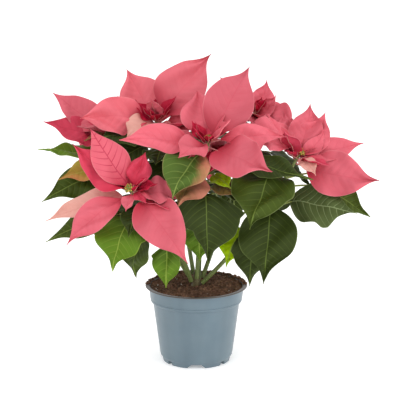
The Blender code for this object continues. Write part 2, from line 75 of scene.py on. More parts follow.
POT_UNDER = [
    (0.0, 0.0), (PAD_R - 0.6, 0.0), (PAD_R, 0.6), (PAD_R + 1.2, FLOOR_Z - 0.5), (PAD_R + 1.8, FLOOR_Z),
    (FOOT_IN_R - 1.2, FLOOR_Z), (FOOT_IN_R - 0.6, FLOOR_Z - 0.5), (FOOT_IN_R, 0.6), (FOOT_IN_R + 0.6, 0.0),
]
GAPS_WIDE = [(azimuth, 36.0, 17.0) for azimuth in (0, 90, 180, 270)]
GAPS_NARROW = [(azimuth, 12.0, 8.0) for azimuth in (50, 130, 230, 310)]
DRAIN_R = 3.5
DRAIN_RING_R = 25.0
DRAINS = 6
LIP_TINT_FROM, LIP_TINT_FULL = 97.1, 98.6


def aim(azimuth, pitch=0.0):
    """The unit direction that faces an azimuth, turned from the front towards +X, and rises by a pitch."""
    a, p = math.radians(azimuth), math.radians(pitch)
    return np.array([math.sin(a) * math.cos(p), -math.cos(a) * math.cos(p), math.sin(p)])


def piece_of(name, points, faces, finish=None):
    """A mesh object from points in mm, in its finish if it has one. It becomes the only selected one."""
    mesh = bpy.data.meshes.new(name)
    mesh.from_pydata([tuple(p) for p in np.asarray(points, float) * MM], [], faces)
    made = bpy.data.objects.new(name, mesh)
    bpy.context.scene.collection.objects.link(made)
    if finish:
        mesh.materials.append(finish)
    take(made)
    return made


def take(made):
    """Selects one object and makes it active."""
    bpy.ops.object.select_all(action="DESELECT")
    made.select_set(True)
    bpy.context.view_layer.objects.active = made


def carve(body, cutter):
    """Cuts one object out of another and removes it."""
    cut = body.modifiers.new("cut", "BOOLEAN")
    cut.operation = "DIFFERENCE"
    cut.solver = "EXACT"
    cut.object = cutter
    take(body)
    bpy.ops.object.modifier_apply(modifier=cut.name)
    bpy.data.objects.remove(cutter)


def linear(hex_colour):
    """An sRGB hex colour as linear red, green, blue and 1."""
    shares = [int(hex_colour[k:k + 2], 16) / 255 for k in (0, 2, 4)]
    return (*[s / 12.92 if s < 0.04045 else ((s + 0.055) / 1.055) ** 2.4 for s in shares], 1.0)


def add(tree, kind, inputs=None, **settings):
    """Adds a node. An input that is another node's output is linked, and any other is set."""
    node = tree.nodes.new(kind)
    for name, value in settings.items():
        setattr(node, name, value)
    for name, value in (inputs or {}).items():
        if isinstance(value, bpy.types.NodeSocket):
            tree.links.new(value, node.inputs[name])
        else:
            node.inputs[name].default_value = value
    return node


def new_finish(name, roughness, ior=1.5):
    """A Principled material, with its node tree, its shader and a place in Object coordinates."""
    made = bpy.data.materials.new(name)
    made.use_nodes = True
    shader = made.node_tree.nodes["Principled BSDF"]
    shader.inputs["Roughness"].default_value = roughness
    shader.inputs["IOR"].default_value = ior
    return made, made.node_tree, shader, add(made.node_tree, "ShaderNodeTexCoord").outputs["Object"]


def moulded_polypropylene():
    """Thin dyed sheet: a satin skin with a soft shine. Dust clouds it in patches of 26 mm, faint upright
    bands
    21 mm wide are painted reflections of the studio, a grain of 6 mm breaks up the shine, and the lip's top
    is grey-brown."""
    made, tree, shader, place = new_finish("moulded_polypropylene", 0.36)
    cloud = add(tree, "ShaderNodeTexNoise", {"Vector": place, "Scale": 38.0, "Detail": 4.0})
    dyed = add(tree, "ShaderNodeMix", {"Factor": cloud.outputs["Fac"], "A": linear("556975"),
                                       "B": linear("66777F")}, data_type="RGBA")
    # Painted reflection: upright bands 21 mm wide, up to 7 % lighter and darker, stand in for the studio's
    # soft highlights on the wall.
    upright = add(tree, "ShaderNodeMapping", {"Vector": place, "Scale": (1.0, 1.0, 0.05)})
    drawn = add(tree, "ShaderNodeTexNoise", {"Vector": upright.outputs["Vector"], "Scale": 48.0,
                                             "Detail": 2.0})
    painted_reflection_band = add(tree, "ShaderNodeMapRange", {"Value": drawn.outputs["Fac"], "From Min": 0.3, "From Max": 0.7,
                                            "To Min": 0.93, "To Max": 1.07})
    tint = add(tree, "ShaderNodeHueSaturation", {"Value": painted_reflection_band.outputs["Result"],
                                                 "Color": dyed.outputs["Result"]})
    split = add(tree, "ShaderNodeSeparateXYZ", {"Vector": place})
    lip = add(tree, "ShaderNodeMapRange", {"Value": split.outputs["Z"], "From Min": LIP_TINT_FROM * MM,
                                           "From Max": LIP_TINT_FULL * MM})
    # Above 97.1 mm the lip fades to grey-brown, fully so from 98.6 mm up.
    lip_tinted = add(tree, "ShaderNodeMix", {"Factor": lip.outputs["Result"], "A": tint.outputs["Color"],
                                         "B": linear("483E36")}, data_type="RGBA")
    tree.links.new(lip_tinted.outputs["Result"], shader.inputs["Base Color"])
    streaks = add(tree, "ShaderNodeTexNoise", {"Vector": place, "Scale": 160.0, "Detail": 3.0})
    satin = add(tree, "ShaderNodeMapRange", {"Value": streaks.outputs["Fac"], "To Min": 0.28, "To Max": 0.42})
    tree.links.new(satin.outputs["Result"], shader.inputs["Roughness"])
    skin = add(tree, "ShaderNodeBump", {"Height": streaks.outputs["Fac"], "Strength": 0.25,
                                        "Distance": 0.0002})
    tree.links.new(skin.outputs["Normal"], shader.inputs["Normal"])
    return made


pot_outline = POT_UNDER + POT_OUTSIDE + POT_INSIDE
pot = piece_of("nursery_pot", [(r, 0, z) for r, z in pot_outline], [])
pot.data.edges.add(len(pot_outline) - 1)
pot.data.edges.foreach_set("vertices", [i + k for i in range(len(pot_outline) - 1) for k in (0, 1)])
bpy.ops.object.mode_set(mode="EDIT")
bpy.ops.mesh.select_all(action="SELECT")
bpy.ops.mesh.spin(steps=POT_STEPS, angle=math.tau, center=(0, 0, 0), axis=(0, 0, 1))
bpy.ops.mesh.select_all(action="SELECT")
bpy.ops.mesh.remove_doubles(threshold=0.02 * MM)
bpy.ops.mesh.normals_make_consistent(inside=False)
bpy.ops.object.mode_set(mode="OBJECT")
for azimuth, low_span, high_span in GAPS_WIDE + GAPS_NARROW:
    corners = [aim(azimuth + side * span / 2) * out + (0, 0, z) for out in (FOOT_IN_R - 3, FOOT_OUT_R + 3)
               for span, z in ((low_span, -1.0), (high_span, FLOOR_Z)) for side in (-1, 1)]
    gap = piece_of("gap", corners, [(0, 1, 3, 2), (4, 6, 7, 5), (0, 4, 5, 1), (2, 3, 7, 6), (0, 2, 6, 4),
                                    (1, 5, 7, 3)])
    bpy.ops.object.mode_set(mode="EDIT")
    bpy.ops.mesh.select_all(action="SELECT")
    bpy.ops.mesh.normals_make_consistent(inside=False)
    bpy.ops.object.mode_set(mode="OBJECT")
    carve(pot, gap)
for k in range(DRAINS):
    x, y, _ = aim((k + 0.5) * 360 / DRAINS) * DRAIN_RING_R * MM
    bpy.ops.mesh.primitive_cylinder_add(vertices=24, radius=DRAIN_R * MM, depth=8 * MM,
                                        location=(x, y, FLOOR_Z * MM))
    carve(pot, bpy.context.object)
take(pot)
bpy.ops.object.shade_smooth_by_angle(angle=math.radians(38))
pot.data.materials.append(moulded_polypropylene())
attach(pot, "root")
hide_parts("pot")


# Soil: moist brown peat with bark crumbs, fibres and a few grains of white perlite, filled to just under the
# lip, mounded a little round the stem and banked against the back. Crumbs lie on it and spill onto the lip.
GAP = 0.3
SOIL_R = 58.9
SOIL_RIM_Z = 96.6
SOIL_RISE = 1.6
SOIL_TURNS, SOIL_RINGS = 132, 46
SOIL_BANK = 1.3
SOIL_SIDE = [(57.0, 82.4), (53.6, 76.8), (44.2, 10.2), (42.2, FLOOR_Z + WALL + GAP)]
CLODS = [(11, 2.8, 3.0), (4.5, 1.6, 9.0), (1.9, 0.6, 5.0)]
CRUMBS, SPILT, FIBRES, GRAINS = 900, 420, 60, 26
FIBRE_RADII = [0.12, 0.22, 0.25, 0.25, 0.2, 0.1]
FIBRES_REACH = 54.0


def soil_height(x, y):
    """The height of the peat at a place, all in mm: a low mound with clods, hollows and fine crumbs."""
    r = math.hypot(x, y) / SOIL_R
    rough = sum(noise.noise((x / across, y / across, seed)) * tall for across, tall, seed in CLODS)
    banked = SOIL_BANK * max(0.0, y / SOIL_R) * r ** 3
    return SOIL_RIM_Z + SOIL_RISE * (1 - r * r) + banked + rough * min(1.0, 4 * (1.02 - r))


def peat():
    """Damp peat: near-black to red-brown crumbs of 5 mm, darker in damp patches of 18 mm, and a dull surface
    that fine grit breaks up."""
    made, tree, shader, place = new_finish("peat", 0.95, ior=1.35)
    clods = add(tree, "ShaderNodeTexNoise", {"Vector": place, "Scale": 210.0, "Detail": 6.0,
                                             "Roughness": 0.7})
    brown = add(tree, "ShaderNodeValToRGB", {"Fac": clods.outputs["Fac"]})
    brown.color_ramp.elements[0].position = 0.36
    brown.color_ramp.elements[0].color = linear("46321F")
    brown.color_ramp.elements[1].position = 0.68
    brown.color_ramp.elements[1].color = linear("9C7A60")
    middle = brown.color_ramp.elements.new(0.52)
    middle.color = linear("745441")
    damp = add(tree, "ShaderNodeTexNoise", {"Vector": place, "Scale": 55.0, "Detail": 3.0})
    depth = add(tree, "ShaderNodeMapRange", {"Value": damp.outputs["Fac"], "From Min": 0.35, "From Max": 0.65,
                                             "To Min": 0.68, "To Max": 1.12})
    toned = add(tree, "ShaderNodeHueSaturation", {"Value": depth.outputs["Result"],
                                                  "Color": brown.outputs["Color"]})
    tree.links.new(toned.outputs["Color"], shader.inputs["Base Color"])
    grit = add(tree, "ShaderNodeBump", {"Height": clods.outputs["Fac"], "Distance": 0.0012})
    tree.links.new(grit.outputs["Normal"], shader.inputs["Normal"])
    return made


def perlite():
    """Expanded volcanic glass: dull white grains, with pores of 1 mm, coarser than life so that they show."""
    made, tree, shader, place = new_finish("perlite", 0.9)
    pores = add(tree, "ShaderNodeTexNoise", {"Vector": place, "Scale": 900.0})
    tint = add(tree, "ShaderNodeMix", {"Factor": pores.outputs["Fac"], "A": linear("BDB5A8"),
                                       "B": linear("EDE9E0")}, data_type="RGBA")
    tree.links.new(tint.outputs["Result"], shader.inputs["Base Color"])
    return made


def soil_bed():
    """The bed as one closed body: its rough top, its side along the pot's wall and its flat base."""
    points, faces = [(0, 0, soil_height(0, 0))], []
    top = [(SOIL_R * ring / SOIL_RINGS, None) for ring in range(1, SOIL_RINGS + 1)]
    for r, z in top + SOIL_SIDE:
        for k in range(SOIL_TURNS):
            x, y = r * math.cos(math.tau * k / SOIL_TURNS), r * math.sin(math.tau * k / SOIL_TURNS)
            points.append((x, y, soil_height(x, y) if z is None else z))
    rings = SOIL_RINGS + len(SOIL_SIDE)
    points.append((0, 0, SOIL_SIDE[-1][1]))
    for k in range(SOIL_TURNS):
        after = (k + 1) % SOIL_TURNS
        faces.append((0, 1 + k, 1 + after))
        for ring in range(rings - 1):
            a = 1 + ring * SOIL_TURNS
            faces.append((a + k, a + SOIL_TURNS + k, a + SOIL_TURNS + after, a + after))
        a = 1 + (rings - 1) * SOIL_TURNS
        faces.append((a + k, len(points) - 1, a + after))
    return points, faces


def scattered(name, finish, count, low, high, flat, draw, reach, inner=0.0, arc=math.tau):
    """Many small broken lumps that lie on the peat or the lip, as one piece: rough grains of eighty faces."""
    work = bmesh.new()
    for _ in range(count):
        turn, out = draw.uniform(0, arc), inner + (reach - inner) * math.sqrt(draw.random())
        x, y, size = out * math.cos(turn), out * math.sin(turn), draw.uniform(low, high)
        made = bmesh.ops.create_icosphere(work, subdivisions=1, radius=size * MM)
        stretch = (draw.uniform(0.7, 1.5), draw.uniform(0.6, 1.0), flat * draw.uniform(0.7, 1.3))
        spin = draw.uniform(0, math.pi)
        for vert in made["verts"]:
            p = Vector((vert.co.x * stretch[0], vert.co.y * stretch[1], vert.co.z * stretch[2]))
            p *= draw.uniform(0.75, 1.2)
            rest = soil_height(x, y) + 0.25 * size if out < SOIL_R else POT_TOP + 0.4 * size
            vert.co = (p.x * math.cos(spin) - p.y * math.sin(spin) + x * MM,
                       p.x * math.sin(spin) + p.y * math.cos(spin) + y * MM, p.z + rest * MM)
    made = piece_of(name, [], [], finish)
    work.to_mesh(made.data)
    work.free()
    return made


def sweep(line, radii, sides, turn=0.0):
    """Points and faces of a round stem along points in mm, closed at both ends."""
    line = np.asarray(line, float)
    along = np.gradient(line, axis=0)
    along /= np.linalg.norm(along, axis=1)[:, None]
    side = np.cross(along, (0.31, 0.95, 0.05))
    side /= np.linalg.norm(side, axis=1)[:, None]
    other = np.cross(along, side)
    angles = np.arange(sides) * math.tau / sides + turn
    round_it = side[:, None] * np.cos(angles)[:, None] + other[:, None] * np.sin(angles)[:, None]
    rings = line[:, None] + np.asarray(radii, float)[:, None, None] * round_it
    points = rings.reshape(-1, 3).tolist()
    last = (len(line) - 1) * sides
    faces = [tuple(reversed(range(sides))), tuple(range(last, last + sides))]
    for r in range(len(line) - 1):
        for k in range(sides):
            a, b = r * sides + k, r * sides + (k + 1) % sides
            faces.append((a, b, b + sides, a + sides))
    return points, faces


def joined(name, finish, parts):
    """One piece from several lists of points and faces."""
    points, faces = [], []
    for some_points, some_faces in parts:
        faces += [tuple(i + len(points) for i in face) for face in some_faces]
        points += list(some_points)
    return piece_of(name, points, faces, finish)


draw = random.Random(4)
PEAT = peat()
soil = piece_of("peat_bed", *soil_bed(), PEAT)
bpy.ops.object.shade_smooth_by_angle(angle=math.radians(50))
crumbs = scattered("peat_crumbs", PEAT, CRUMBS, 0.5, 1.9, 0.7, draw, SOIL_R - 1.2)
spilt = scattered("spilt_crumbs", PEAT, SPILT, 0.6, 2.0, 0.8, random.Random(7), RIM_R - 1.0, SOIL_R - 3,
                  math.pi)
grains = scattered("perlite_grains", perlite(), GRAINS, 0.5, 1.2, 0.8, draw, SOIL_R - 4)
strands = []
for _ in range(FIBRES):
    turn, out = draw.uniform(0, math.tau), FIBRES_REACH * math.sqrt(draw.random())
    heading = draw.uniform(0, math.tau)
    x, y, long = out * math.cos(turn), out * math.sin(turn), draw.uniform(3, 9)
    bend = draw.uniform(-0.5, 0.5)
    walk = []
    for s in np.linspace(-0.5, 0.5, len(FIBRE_RADII)):
        px = x + long * s * math.cos(heading + bend * s)
        py = y + long * s * math.sin(heading + bend * s)
        walk.append((px, py, soil_height(px, py) + 0.5))
    strands.append(sweep(walk, FIBRE_RADII, 5))
fibres = joined("peat_fibres", PEAT, strands)
for piece in (soil, crumbs, spilt, grains, fibres):
    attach(piece, "root")
    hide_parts("soil")


# Main stem: the short green-brown stem that was cut back in the nursery so that it would branch. Its skin is
# ridged by old leaf scars, it flares where it enters the peat, and its cut top has healed to a dry rim.
stem_low, stem_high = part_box("main_stem")
STEM_FOOT = stem_low.z / MM
STEM_TALL = (stem_high.z - stem_low.z) / MM
STEM_HEIGHTS = (0.0, 3.0, 8.0, 16.7, 18.7)
STEM_RADII = (7.5, 5.6, 5.0, 4.2, 2.6)
STEM_SIDES, STEM_RINGS = 40, 36
SCARS = [(6.0, 0.4), (12.5, 0.35)]
CUT_DISH = 0.8


def stem_skin(name, low, high, scar):
    """Green bark: a satin skin in streaks 3 mm wide, brown where it is old, with pale breathing pores about
    2 mm apart."""
    made, tree, shader, place = new_finish(name, 0.55)
    long = add(tree, "ShaderNodeMapping", {"Vector": place, "Scale": (1.0, 1.0, 0.25)})
    cloud = add(tree, "ShaderNodeTexNoise", {"Vector": long.outputs["Vector"], "Scale": 300.0,
                                             "Detail": 4.0})
    tint = add(tree, "ShaderNodeMix", {"Factor": cloud.outputs["Fac"], "A": linear(low), "B": linear(high)},
               data_type="RGBA")
    pores = add(tree, "ShaderNodeTexVoronoi", {"Vector": place, "Scale": 420.0})
    spot = add(tree, "ShaderNodeMapRange", {"Value": pores.outputs["Distance"], "From Min": 0.22,
                                            "From Max": 0.12})
    marked = add(tree, "ShaderNodeMix", {"Factor": spot.outputs["Result"], "A": tint.outputs["Result"],
                                         "B": linear(scar)}, data_type="RGBA")
    tree.links.new(marked.outputs["Result"], shader.inputs["Base Color"])
    bark = add(tree, "ShaderNodeBump", {"Height": cloud.outputs["Fac"], "Distance": 0.0006})
    tree.links.new(bark.outputs["Normal"], shader.inputs["Normal"])
    return made


BARK = stem_skin("old_green_bark", "54482C", "746A3E", "8C8260")
bpy.ops.mesh.primitive_cylinder_add(vertices=STEM_SIDES, radius=MM, depth=MM, end_fill_type="TRIFAN",
                                    location=(0, 0, 0.5 * MM))
stem = bpy.context.object
stem.name = stem.data.name = "woody_stem"
bpy.ops.object.transform_apply(location=True, rotation=True, scale=True)
work = bmesh.new()
work.from_mesh(stem.data)
upright = [edge for edge in work.edges if abs(edge.verts[0].co.z - edge.verts[1].co.z) > 0.5 * MM]
bmesh.ops.subdivide_edges(work, edges=upright, cuts=STEM_RINGS - 1)
for vert in work.verts:
    z, turn = vert.co.z / MM * STEM_TALL, math.atan2(vert.co.y, vert.co.x)
    out = math.hypot(vert.co.x, vert.co.y) / MM
    radius = float(np.interp(z, STEM_HEIGHTS, STEM_RADII)) - 0.25
    knobs = noise.noise((3 * math.cos(turn), 3 * math.sin(turn), z / 4))
    ridges = 0.25 * math.sin(7 * turn + 0.35 * z) + 0.5 * knobs
    scars = sum(high * math.exp(-((z - at) / 0.7) ** 2) for at, high in SCARS)
    r = out * (radius + ridges * 0.5 + scars * 0.4)
    dished = CUT_DISH * (1 - out) if z > STEM_TALL - 0.1 else 0.0
    vert.co = (r * math.cos(turn) * MM, r * math.sin(turn) * MM, (STEM_FOOT + z - dished) * MM)
work.to_mesh(stem.data)
work.free()
bpy.ops.object.shade_smooth_by_angle(angle=math.radians(50))
stem.data.materials.append(BARK)
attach(stem, "root")
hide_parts("main_stem")


# Shoots: seven soft green branches that spring from the main stem just over the peat. Each is round and a
# little swollen at the joints where its leaves stand, and light and dark green streak its skin.
SOIL_CROWN_Z = 97.0
SHOOT_FOOT_R, SHOOT_TIP_R = 2.8, 2.0
BRACT_ZONE, LEAF_ZONE = 30.0, 84.0
JOINT_SWELL, JOINT_LONG, JOINTS, JOINTS_APART = 0.16, 2.2, 9, 11
# A shoot has its foot on the stem (azimuth, height), its bend as shares of the way out and up, and its tip.
# "bare" names azimuths without extra blades, and "low" counts the lower small bracts of its head. A blade is
# a drop from the tip, an azimuth, rise, length, width, droop, roll and finish, then what shapes it further:
# "cup", its fold in degrees; "curl", how far its margin turns down; "drawn", how far its tip narrows;
# "early", under 1 to be widest near its base; "teeth", points on its margin as (side, place, size); "lobed",
# one side narrowed from a place on; "wave", its share of the usual ruffle; "tone", dark at 0 and light at 1;
# "patch", how much of the second colour shows: all over, by side and towards the tip.
SHOOTS = {
    "front_left": {
        "foot": (-50, 103), "bend": (0.22, 0.5), "tip": (-81, -70, 238), "bare": (2, -30), "low": 2,
        "bracts": [
            (12, -97, 33, 98, 46, -12, -62, "rose", {"early": 0.7}),
            (16, -96, 50, 100, 46, -16, -70, "veined", {"drawn": 0.2}),
            (5, 124, 66, 50, 38, -6, 40, "rose", {"cup": 35, "curl": 0.5, "drawn": 0.2}),
            (7, 83, 8, 58, 44, 34, 34, "coral", {"cup": 20, "drawn": 0.3}),
            (9, 44, -28, 116, 60, 25, 40, "coral", {"early": 0.65}),
            (11, -66, -16, 106, 42, 30, -40, "coral"),
            (15, -94, -7, 119, 38, 22, -50, "blush", {"early": 0.6}),
            (6, -20, -30, 30, 18, 20, 0, "coral"),
            (6, 45, -10, 28, 18, 20, 20, "rose"),
            (8, 74, 24, 34, 20, 0, 30, "deep", {"cup": 30}),
        ],
        "leaves": [
            (42, -48, -10, 100, 66, 64, -20, "bright", {"patch": (0.0, 0.0, 0.3)}),
            (66, -92, 13, 150, 38, 38, -60, "mid"),
            (74, -68, -2, 90, 62, 95, -25, "mid", {"teeth": [], "wave": 0.3}),
            (88, -2, -15, 84, 36, 95, 10, "bright", {"teeth": [(-1, 0.24, 0.2), (1, 0.2, 0.2)]}),
        ],
    },
    "left": {
        "foot": (-100, 106), "bend": (0.5, 0.4), "tip": (-109, 60, 289),
        "bracts": [
            (14, -100, 34, 102, 46, -1, -48, "coral"),
            (21, -80, 19, 101, 44, 2, -43, "rose"),
            (5, -56, -4, 44, 18, 8, 0, "turning", {"cup": 30, "patch": (0.5, 0.0, 0.0)}),
            (8, -30, -20, 32, 16, 10, 0, "deep", {"cup": 30}),
        ],
        "leaves": [
            (55, -96, 24, 123, 38, 23, -15, "bright"),
            (66, -62, 27, 110, 34, 39, -45, "amber", {"patch": (0.1, 0.1, 0.6)}),
            (70, -69, 15, 131, 42, 38, -55, "mid"),
            (33, -20, 35, 72, 41, 66, -8, "dark"),
        ],
    },
    "back_left": {
        "foot": (-152, 110), "bend": (0.3, 0.5), "tip": (-52, 30, 310), "low": 2,
        "bracts": [
            (14, -135, 47, 90, 58, -8, -42, "light"),
            (12, 100, 60, 113, 68, 16, 64, "light", {"early": 0.75}),
            (14, -75, 25, 104, 54, 30, -62, "light", {"drawn": 0.25}),
            (9, -43, 7, 56, 42, 40, -30, "blush"),
            (8, 150, 48, 42, 28, -30, 0, "deep", {"cup": 30}),
            (8, 60, 42, 46, 28, -20, 40, "deep", {"cup": 35}),
            (10, -90, 24, 44, 26, -50, -40, "deep", {"cup": 30}),
            (7, 40, -5, 30, 18, 20, 20, "salmon"),
            (12, 78, 14, 64, 40, 10, 50, "coral"),
        ],
        "leaves": [
            (35, -68, 34, 94, 48, 46, -33, "dark"),
            (50, -5, 0, 90, 50, 60, 0, "dark"),
            (52, -63, 33, 100, 60, 69, -27, "dark"),
        ],
    },
    "front": {
        "foot": (5, 108), "bend": (0.3, 0.5), "tip": (15, -40, 294), "low": 3,
        "bracts": [
            # Painted shade: a tone below 0, darker than any random tone, dims this bract where the key lamp
            # falls full on it.
            (13, 129, 58, 117, 64, 4, 50, "coral", {"tone": -0.3}),
            (9, -72, 16, 112, 42, 22, -50, "coral"),
            (6, -36, 6, 60, 38, 30, -30, "coral"),
            (16, -32, -2, 96, 60, 55, -20, "turning", {"patch": (0.35, 0.55, -0.55)}),
            (10, 46, -10, 110, 64, -7, 39, "coral", {"early": 0.6}),
            (5, 87, 16, 97, 30, 23, 61, "coral", {"teeth": [(-1, 0.62, 0.8)]}),
            (8, -120, 40, 36, 20, -30, -40, "deep", {"cup": 30}),
            (8, -60, 40, 32, 16, -20, -30, "deep", {"cup": 30}),
            (13, 7, -17, 47, 34, 15, 10, "deep", {"cup": 0, "wave": 0.2}),
            (12, -169, 53, 81, 57, 2, -11, "coral", {"drawn": 0.0}),
            (9, 66, 45, 46, 30, -8, 23, "coral"),
        ],
        "leaves": [
            (33, -29, -15, 86, 58, 19, -20, "bronze", {"patch": (0.4, 0.2, 0.0)}),
            (36, 69, 14, 140, 36, 31, 35, "dark"),
            (50, 2, -10, 131, 82, 84, -10, "dark",
             {"lobed": (-1, 0.42, 0.55), "teeth": [(1, 0.3, 0.16)]}),
            (90, -10, -44, 76, 38, 60, 0, "bright"),
            (43, 33, -2, 61, 26, 12, 20, "bright", {"patch": (0.6, 0.0, 0.0)}),
            (58, 40, 8, 68, 34, 23, 20, "bronze"),
        ],
    },
    "right": {
        "foot": (58, 101), "bend": (0.55, 0.38), "tip": (129, -10, 271), "bare": (33,), "low": 3,
        "bracts": [
            (4, -78, 49, 85, 50, 51, -41, "coral", {"teeth": [(1, 0.5, 0.35)]}),
            (14, 141, 48, 80, 46, -30, 40, "coral"),
            (14, 126, 38, 77, 46, -28, 40, "coral"),
            (15, 105, 28, 58, 22, -32, 60, "coral"),
            (10, 96, 17, 88, 34, 12, 50, "coral"),
            (14, 73, -19, 109, 62, -27, 60, "coral", {"early": 0.8}),
            (7, 27, 2, 50, 22, 36, 20, "blush"),
            (11, -156, 56, 68, 40, 2, -10, "coral"),
        ],
        "leaves": [
            (43, -23, 33, 134, 80, 86, -10, "mid"),
            (60, -10, -5, 140, 74, 77, 0, "dark"),
            (89, -21, -20, 106, 48, 68, -20, "dark"),
            (101, -54, -9, 80, 43, 65, -17, "bright", {"patch": (0.9, 0.0, 0.0)}),
            (50, 88, 7, 125, 48, 43, 48, "mid"),
            (90, 66, 30, 128, 58, 45, 50, "grey", {"teeth": [(-1, 0.7, 0.7), (-1, 0.86, 0.5)]}),
        ],
    },
    "back_right": {
        "foot": (108, 106), "bend": (0.5, 0.42), "tip": (77, 60, 317),
        "bracts": [
            (16, 150, 28, 62, 34, -47, 36, "coral"),
            (13, 70, 20, 44, 26, -49, 60, "coral"),
            (9, 52, -3, 62, 56, 32, 45, "coral"),
            (11, 85, 6, 50, 38, 20, 50, "coral"),
            (11, 0, 10, 56, 38, 30, 0, "coral"),
        ],
        "leaves": [
            (47, 127, 42, 58, 22, -8, 37, "bright"),
        ],
    },
    "back": {
        "foot": (158, 103), "bend": (0.25, 0.5), "tip": (14, 112, 262),
        "bracts": [],
        "leaves": [],
    },
}


def shoot_line(shoot, steps=48):
    """Points down a shoot's centreline from its tip to its foot, and the drop of each from the tip."""
    azimuth, height = shoot["foot"]
    out, up = shoot["bend"]
    tip = np.array(shoot["tip"], float)
    level, climb = out * math.hypot(tip[0], tip[1]), up * (tip[2] - height)
    seat = SHOOT_FOOT_R * climb / math.hypot(level, climb)
    stem_r = np.interp(height - SOIL_CROWN_Z - GAP, STEM_HEIGHTS, STEM_RADII)
    foot = aim(azimuth) * (stem_r + GAP + seat) + (0, 0, height)
    bend = foot + (tip - foot) * (out, out, up)
    t = np.linspace(1, 0, steps + 1)[:, None]
    points = (1 - t) ** 2 * foot + 2 * t * (1 - t) * bend + t * t * tip
    spans = np.linalg.norm(np.diff(points, axis=0), axis=1)
    return points, np.concatenate([[0], np.cumsum(spans)])


def between(where, stops, rows):
    """Rows of three numbers read at places between their stops."""
    return np.stack([np.interp(where, stops, rows[:, k]) for k in range(3)], -1)


def at_drop(line, drop):
    """The place on a shoot's centreline at a drop from its tip."""
    return between(drop, line[1], line[0])


def axes(along):
    """A direction made one long, and two more that are square to it."""
    along = along / np.linalg.norm(along)
    side = np.cross(along, (0, 1, 0))
    side /= np.linalg.norm(side)
    return along, side, np.cross(along, side)


def shoot_radius(line, drop):
    """The shoot's radius there, from its thin tip to its thicker foot."""
    return SHOOT_TIP_R + (SHOOT_FOOT_R - SHOOT_TIP_R) * drop / line[1][-1]


LINES = {name: shoot_line(shoot) for name, shoot in SHOOTS.items()}
GREEN_SKIN = stem_skin("green_shoot_skin", "55652C", "7E8C4A", "A2A878")
for name, line in LINES.items():
    joints = [blade[0] for blade in SHOOTS[name]["leaves"]]
    joints += [BRACT_ZONE + 7 + JOINTS_APART * k for k in range(JOINTS)]
    drops = np.arange(0, line[1][-1], 1.6)
    radii = []
    for drop in drops:
        swell = JOINT_SWELL * max(math.exp(-((drop - joint) / JOINT_LONG) ** 2) for joint in joints)
        radii.append(shoot_radius(line, drop) * (1 + swell))
    made = piece_of("stem_of_" + name, *sweep([at_drop(line, d) for d in drops], radii, 16), GREEN_SKIN)
    bpy.ops.object.shade_smooth_by_angle(angle=math.radians(50))
    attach(made, "root")
    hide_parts("bough_" + name)


# Blades: every leaf and bract is one thin sheet of plant tissue on a round stalk, which runs on below the
# blade as its midrib. The sheet is folded a little there, puffed between its side veins and waved at its
# margin. It starts flat, with a top and an underside, and is laid along its own bent middle line.
STALK_R, BLADE_THICK, SLENDER = 1.1, 1.1, 95.0
BRACT_STALK, LEAF_STALK = 0.14, 0.32
BRACT_CUP, LEAF_CUP = 14.0, 9.0
BRACT_SHAPE, LEAF_SHAPE = (1.0, 1.3), (0.75, 1.25)
GOLDEN = 137.5
BLADE_STATIONS, SMALL_STATIONS = (0.1, 0.3, 0.55, 0.8, 1.0), (0.15, 0.45, 0.75, 1.0)
SMALL_BLADE = 84.0
TIP_WIDE = 0.8
MORE_BRACTS, MORE_LEAVES = 9, 7
BRACT_APART, LEAF_APART, LISTED_LONG = 28.0, 30.0, 45.0
LEAN, SPREAD = 30.0, 110.0
RING_BRACTS, LOW_BRACTS, INNER_LEAVES = 9, 6, 64
SHEET_THICK, RUFFLES = 0.5, 3
TEETH = [[], [(1, 0.34, 0.14)], [(-1, 0.36, 0.16)], [(1, 0.3, 0.16), (-1, 0.42, 0.12)], []]
SHEET_GRIDS, COARSE_UNDER = ((22, 52), (14, 34)), 62.0
BRACT_VEINS_APART, LEAF_VEINS_APART = 9.5, 8.5
BRACT_PUFF, LEAF_PUFF = 0.85, 0.8
BRACT_RUFFLE, LEAF_RUFFLE = 0.028, 0.02
BRACT_RIB, LEAF_RIB = 0.8, 1.1
STALK_STEPS = 9


def smooth(low, high, t):
    """A soft step from 0 to 1 between a low and a high value."""
    t = min(1.0, max(0.0, (t - low) / (high - low)))
    return t * t * (3 - 2 * t)


def fullness(b, stalk):
    """A blade's half width along it, as a share of its most: rounded near the stalk, drawn out to the tip."""
    if not 0 < b < 1:
        return 0.0
    rise, fall = LEAF_SHAPE if stalk == LEAF_STALK else BRACT_SHAPE
    widest = rise / (rise + fall)
    return (b / widest) ** rise * ((1 - b) / (1 - widest)) ** fall


def blade_line(start, blade, stalk, steps=24):
    """Points, sides and normals along a blade's middle: it leaves at its rise and droops at its joint."""
    _, azimuth, rise, length, _, droop, roll = blade[:7]
    across = np.array([math.cos(math.radians(azimuth)), math.sin(math.radians(azimuth)), 0])
    knee = 0.6 if stalk == LEAF_STALK else 0.0
    points, sides, normals = [np.array(start)], [], []
    for i in range(steps + 1):
        s = i / steps
        bent = knee * smooth(stalk - 0.12, stalk + 0.15, s) + (1 - knee) * s
        along = aim(azimuth, rise - droop * bent)
        up = np.cross(along, across)
        turn = math.radians(roll) * smooth(0, 0.4, s)
        sides.append(across * math.cos(turn) + up * math.sin(turn))
        normals.append(up * math.cos(turn) - across * math.sin(turn))
        if i < steps:
            points.append(points[-1] + along * length / steps)
    return np.array(points), np.array(sides), np.array(normals)


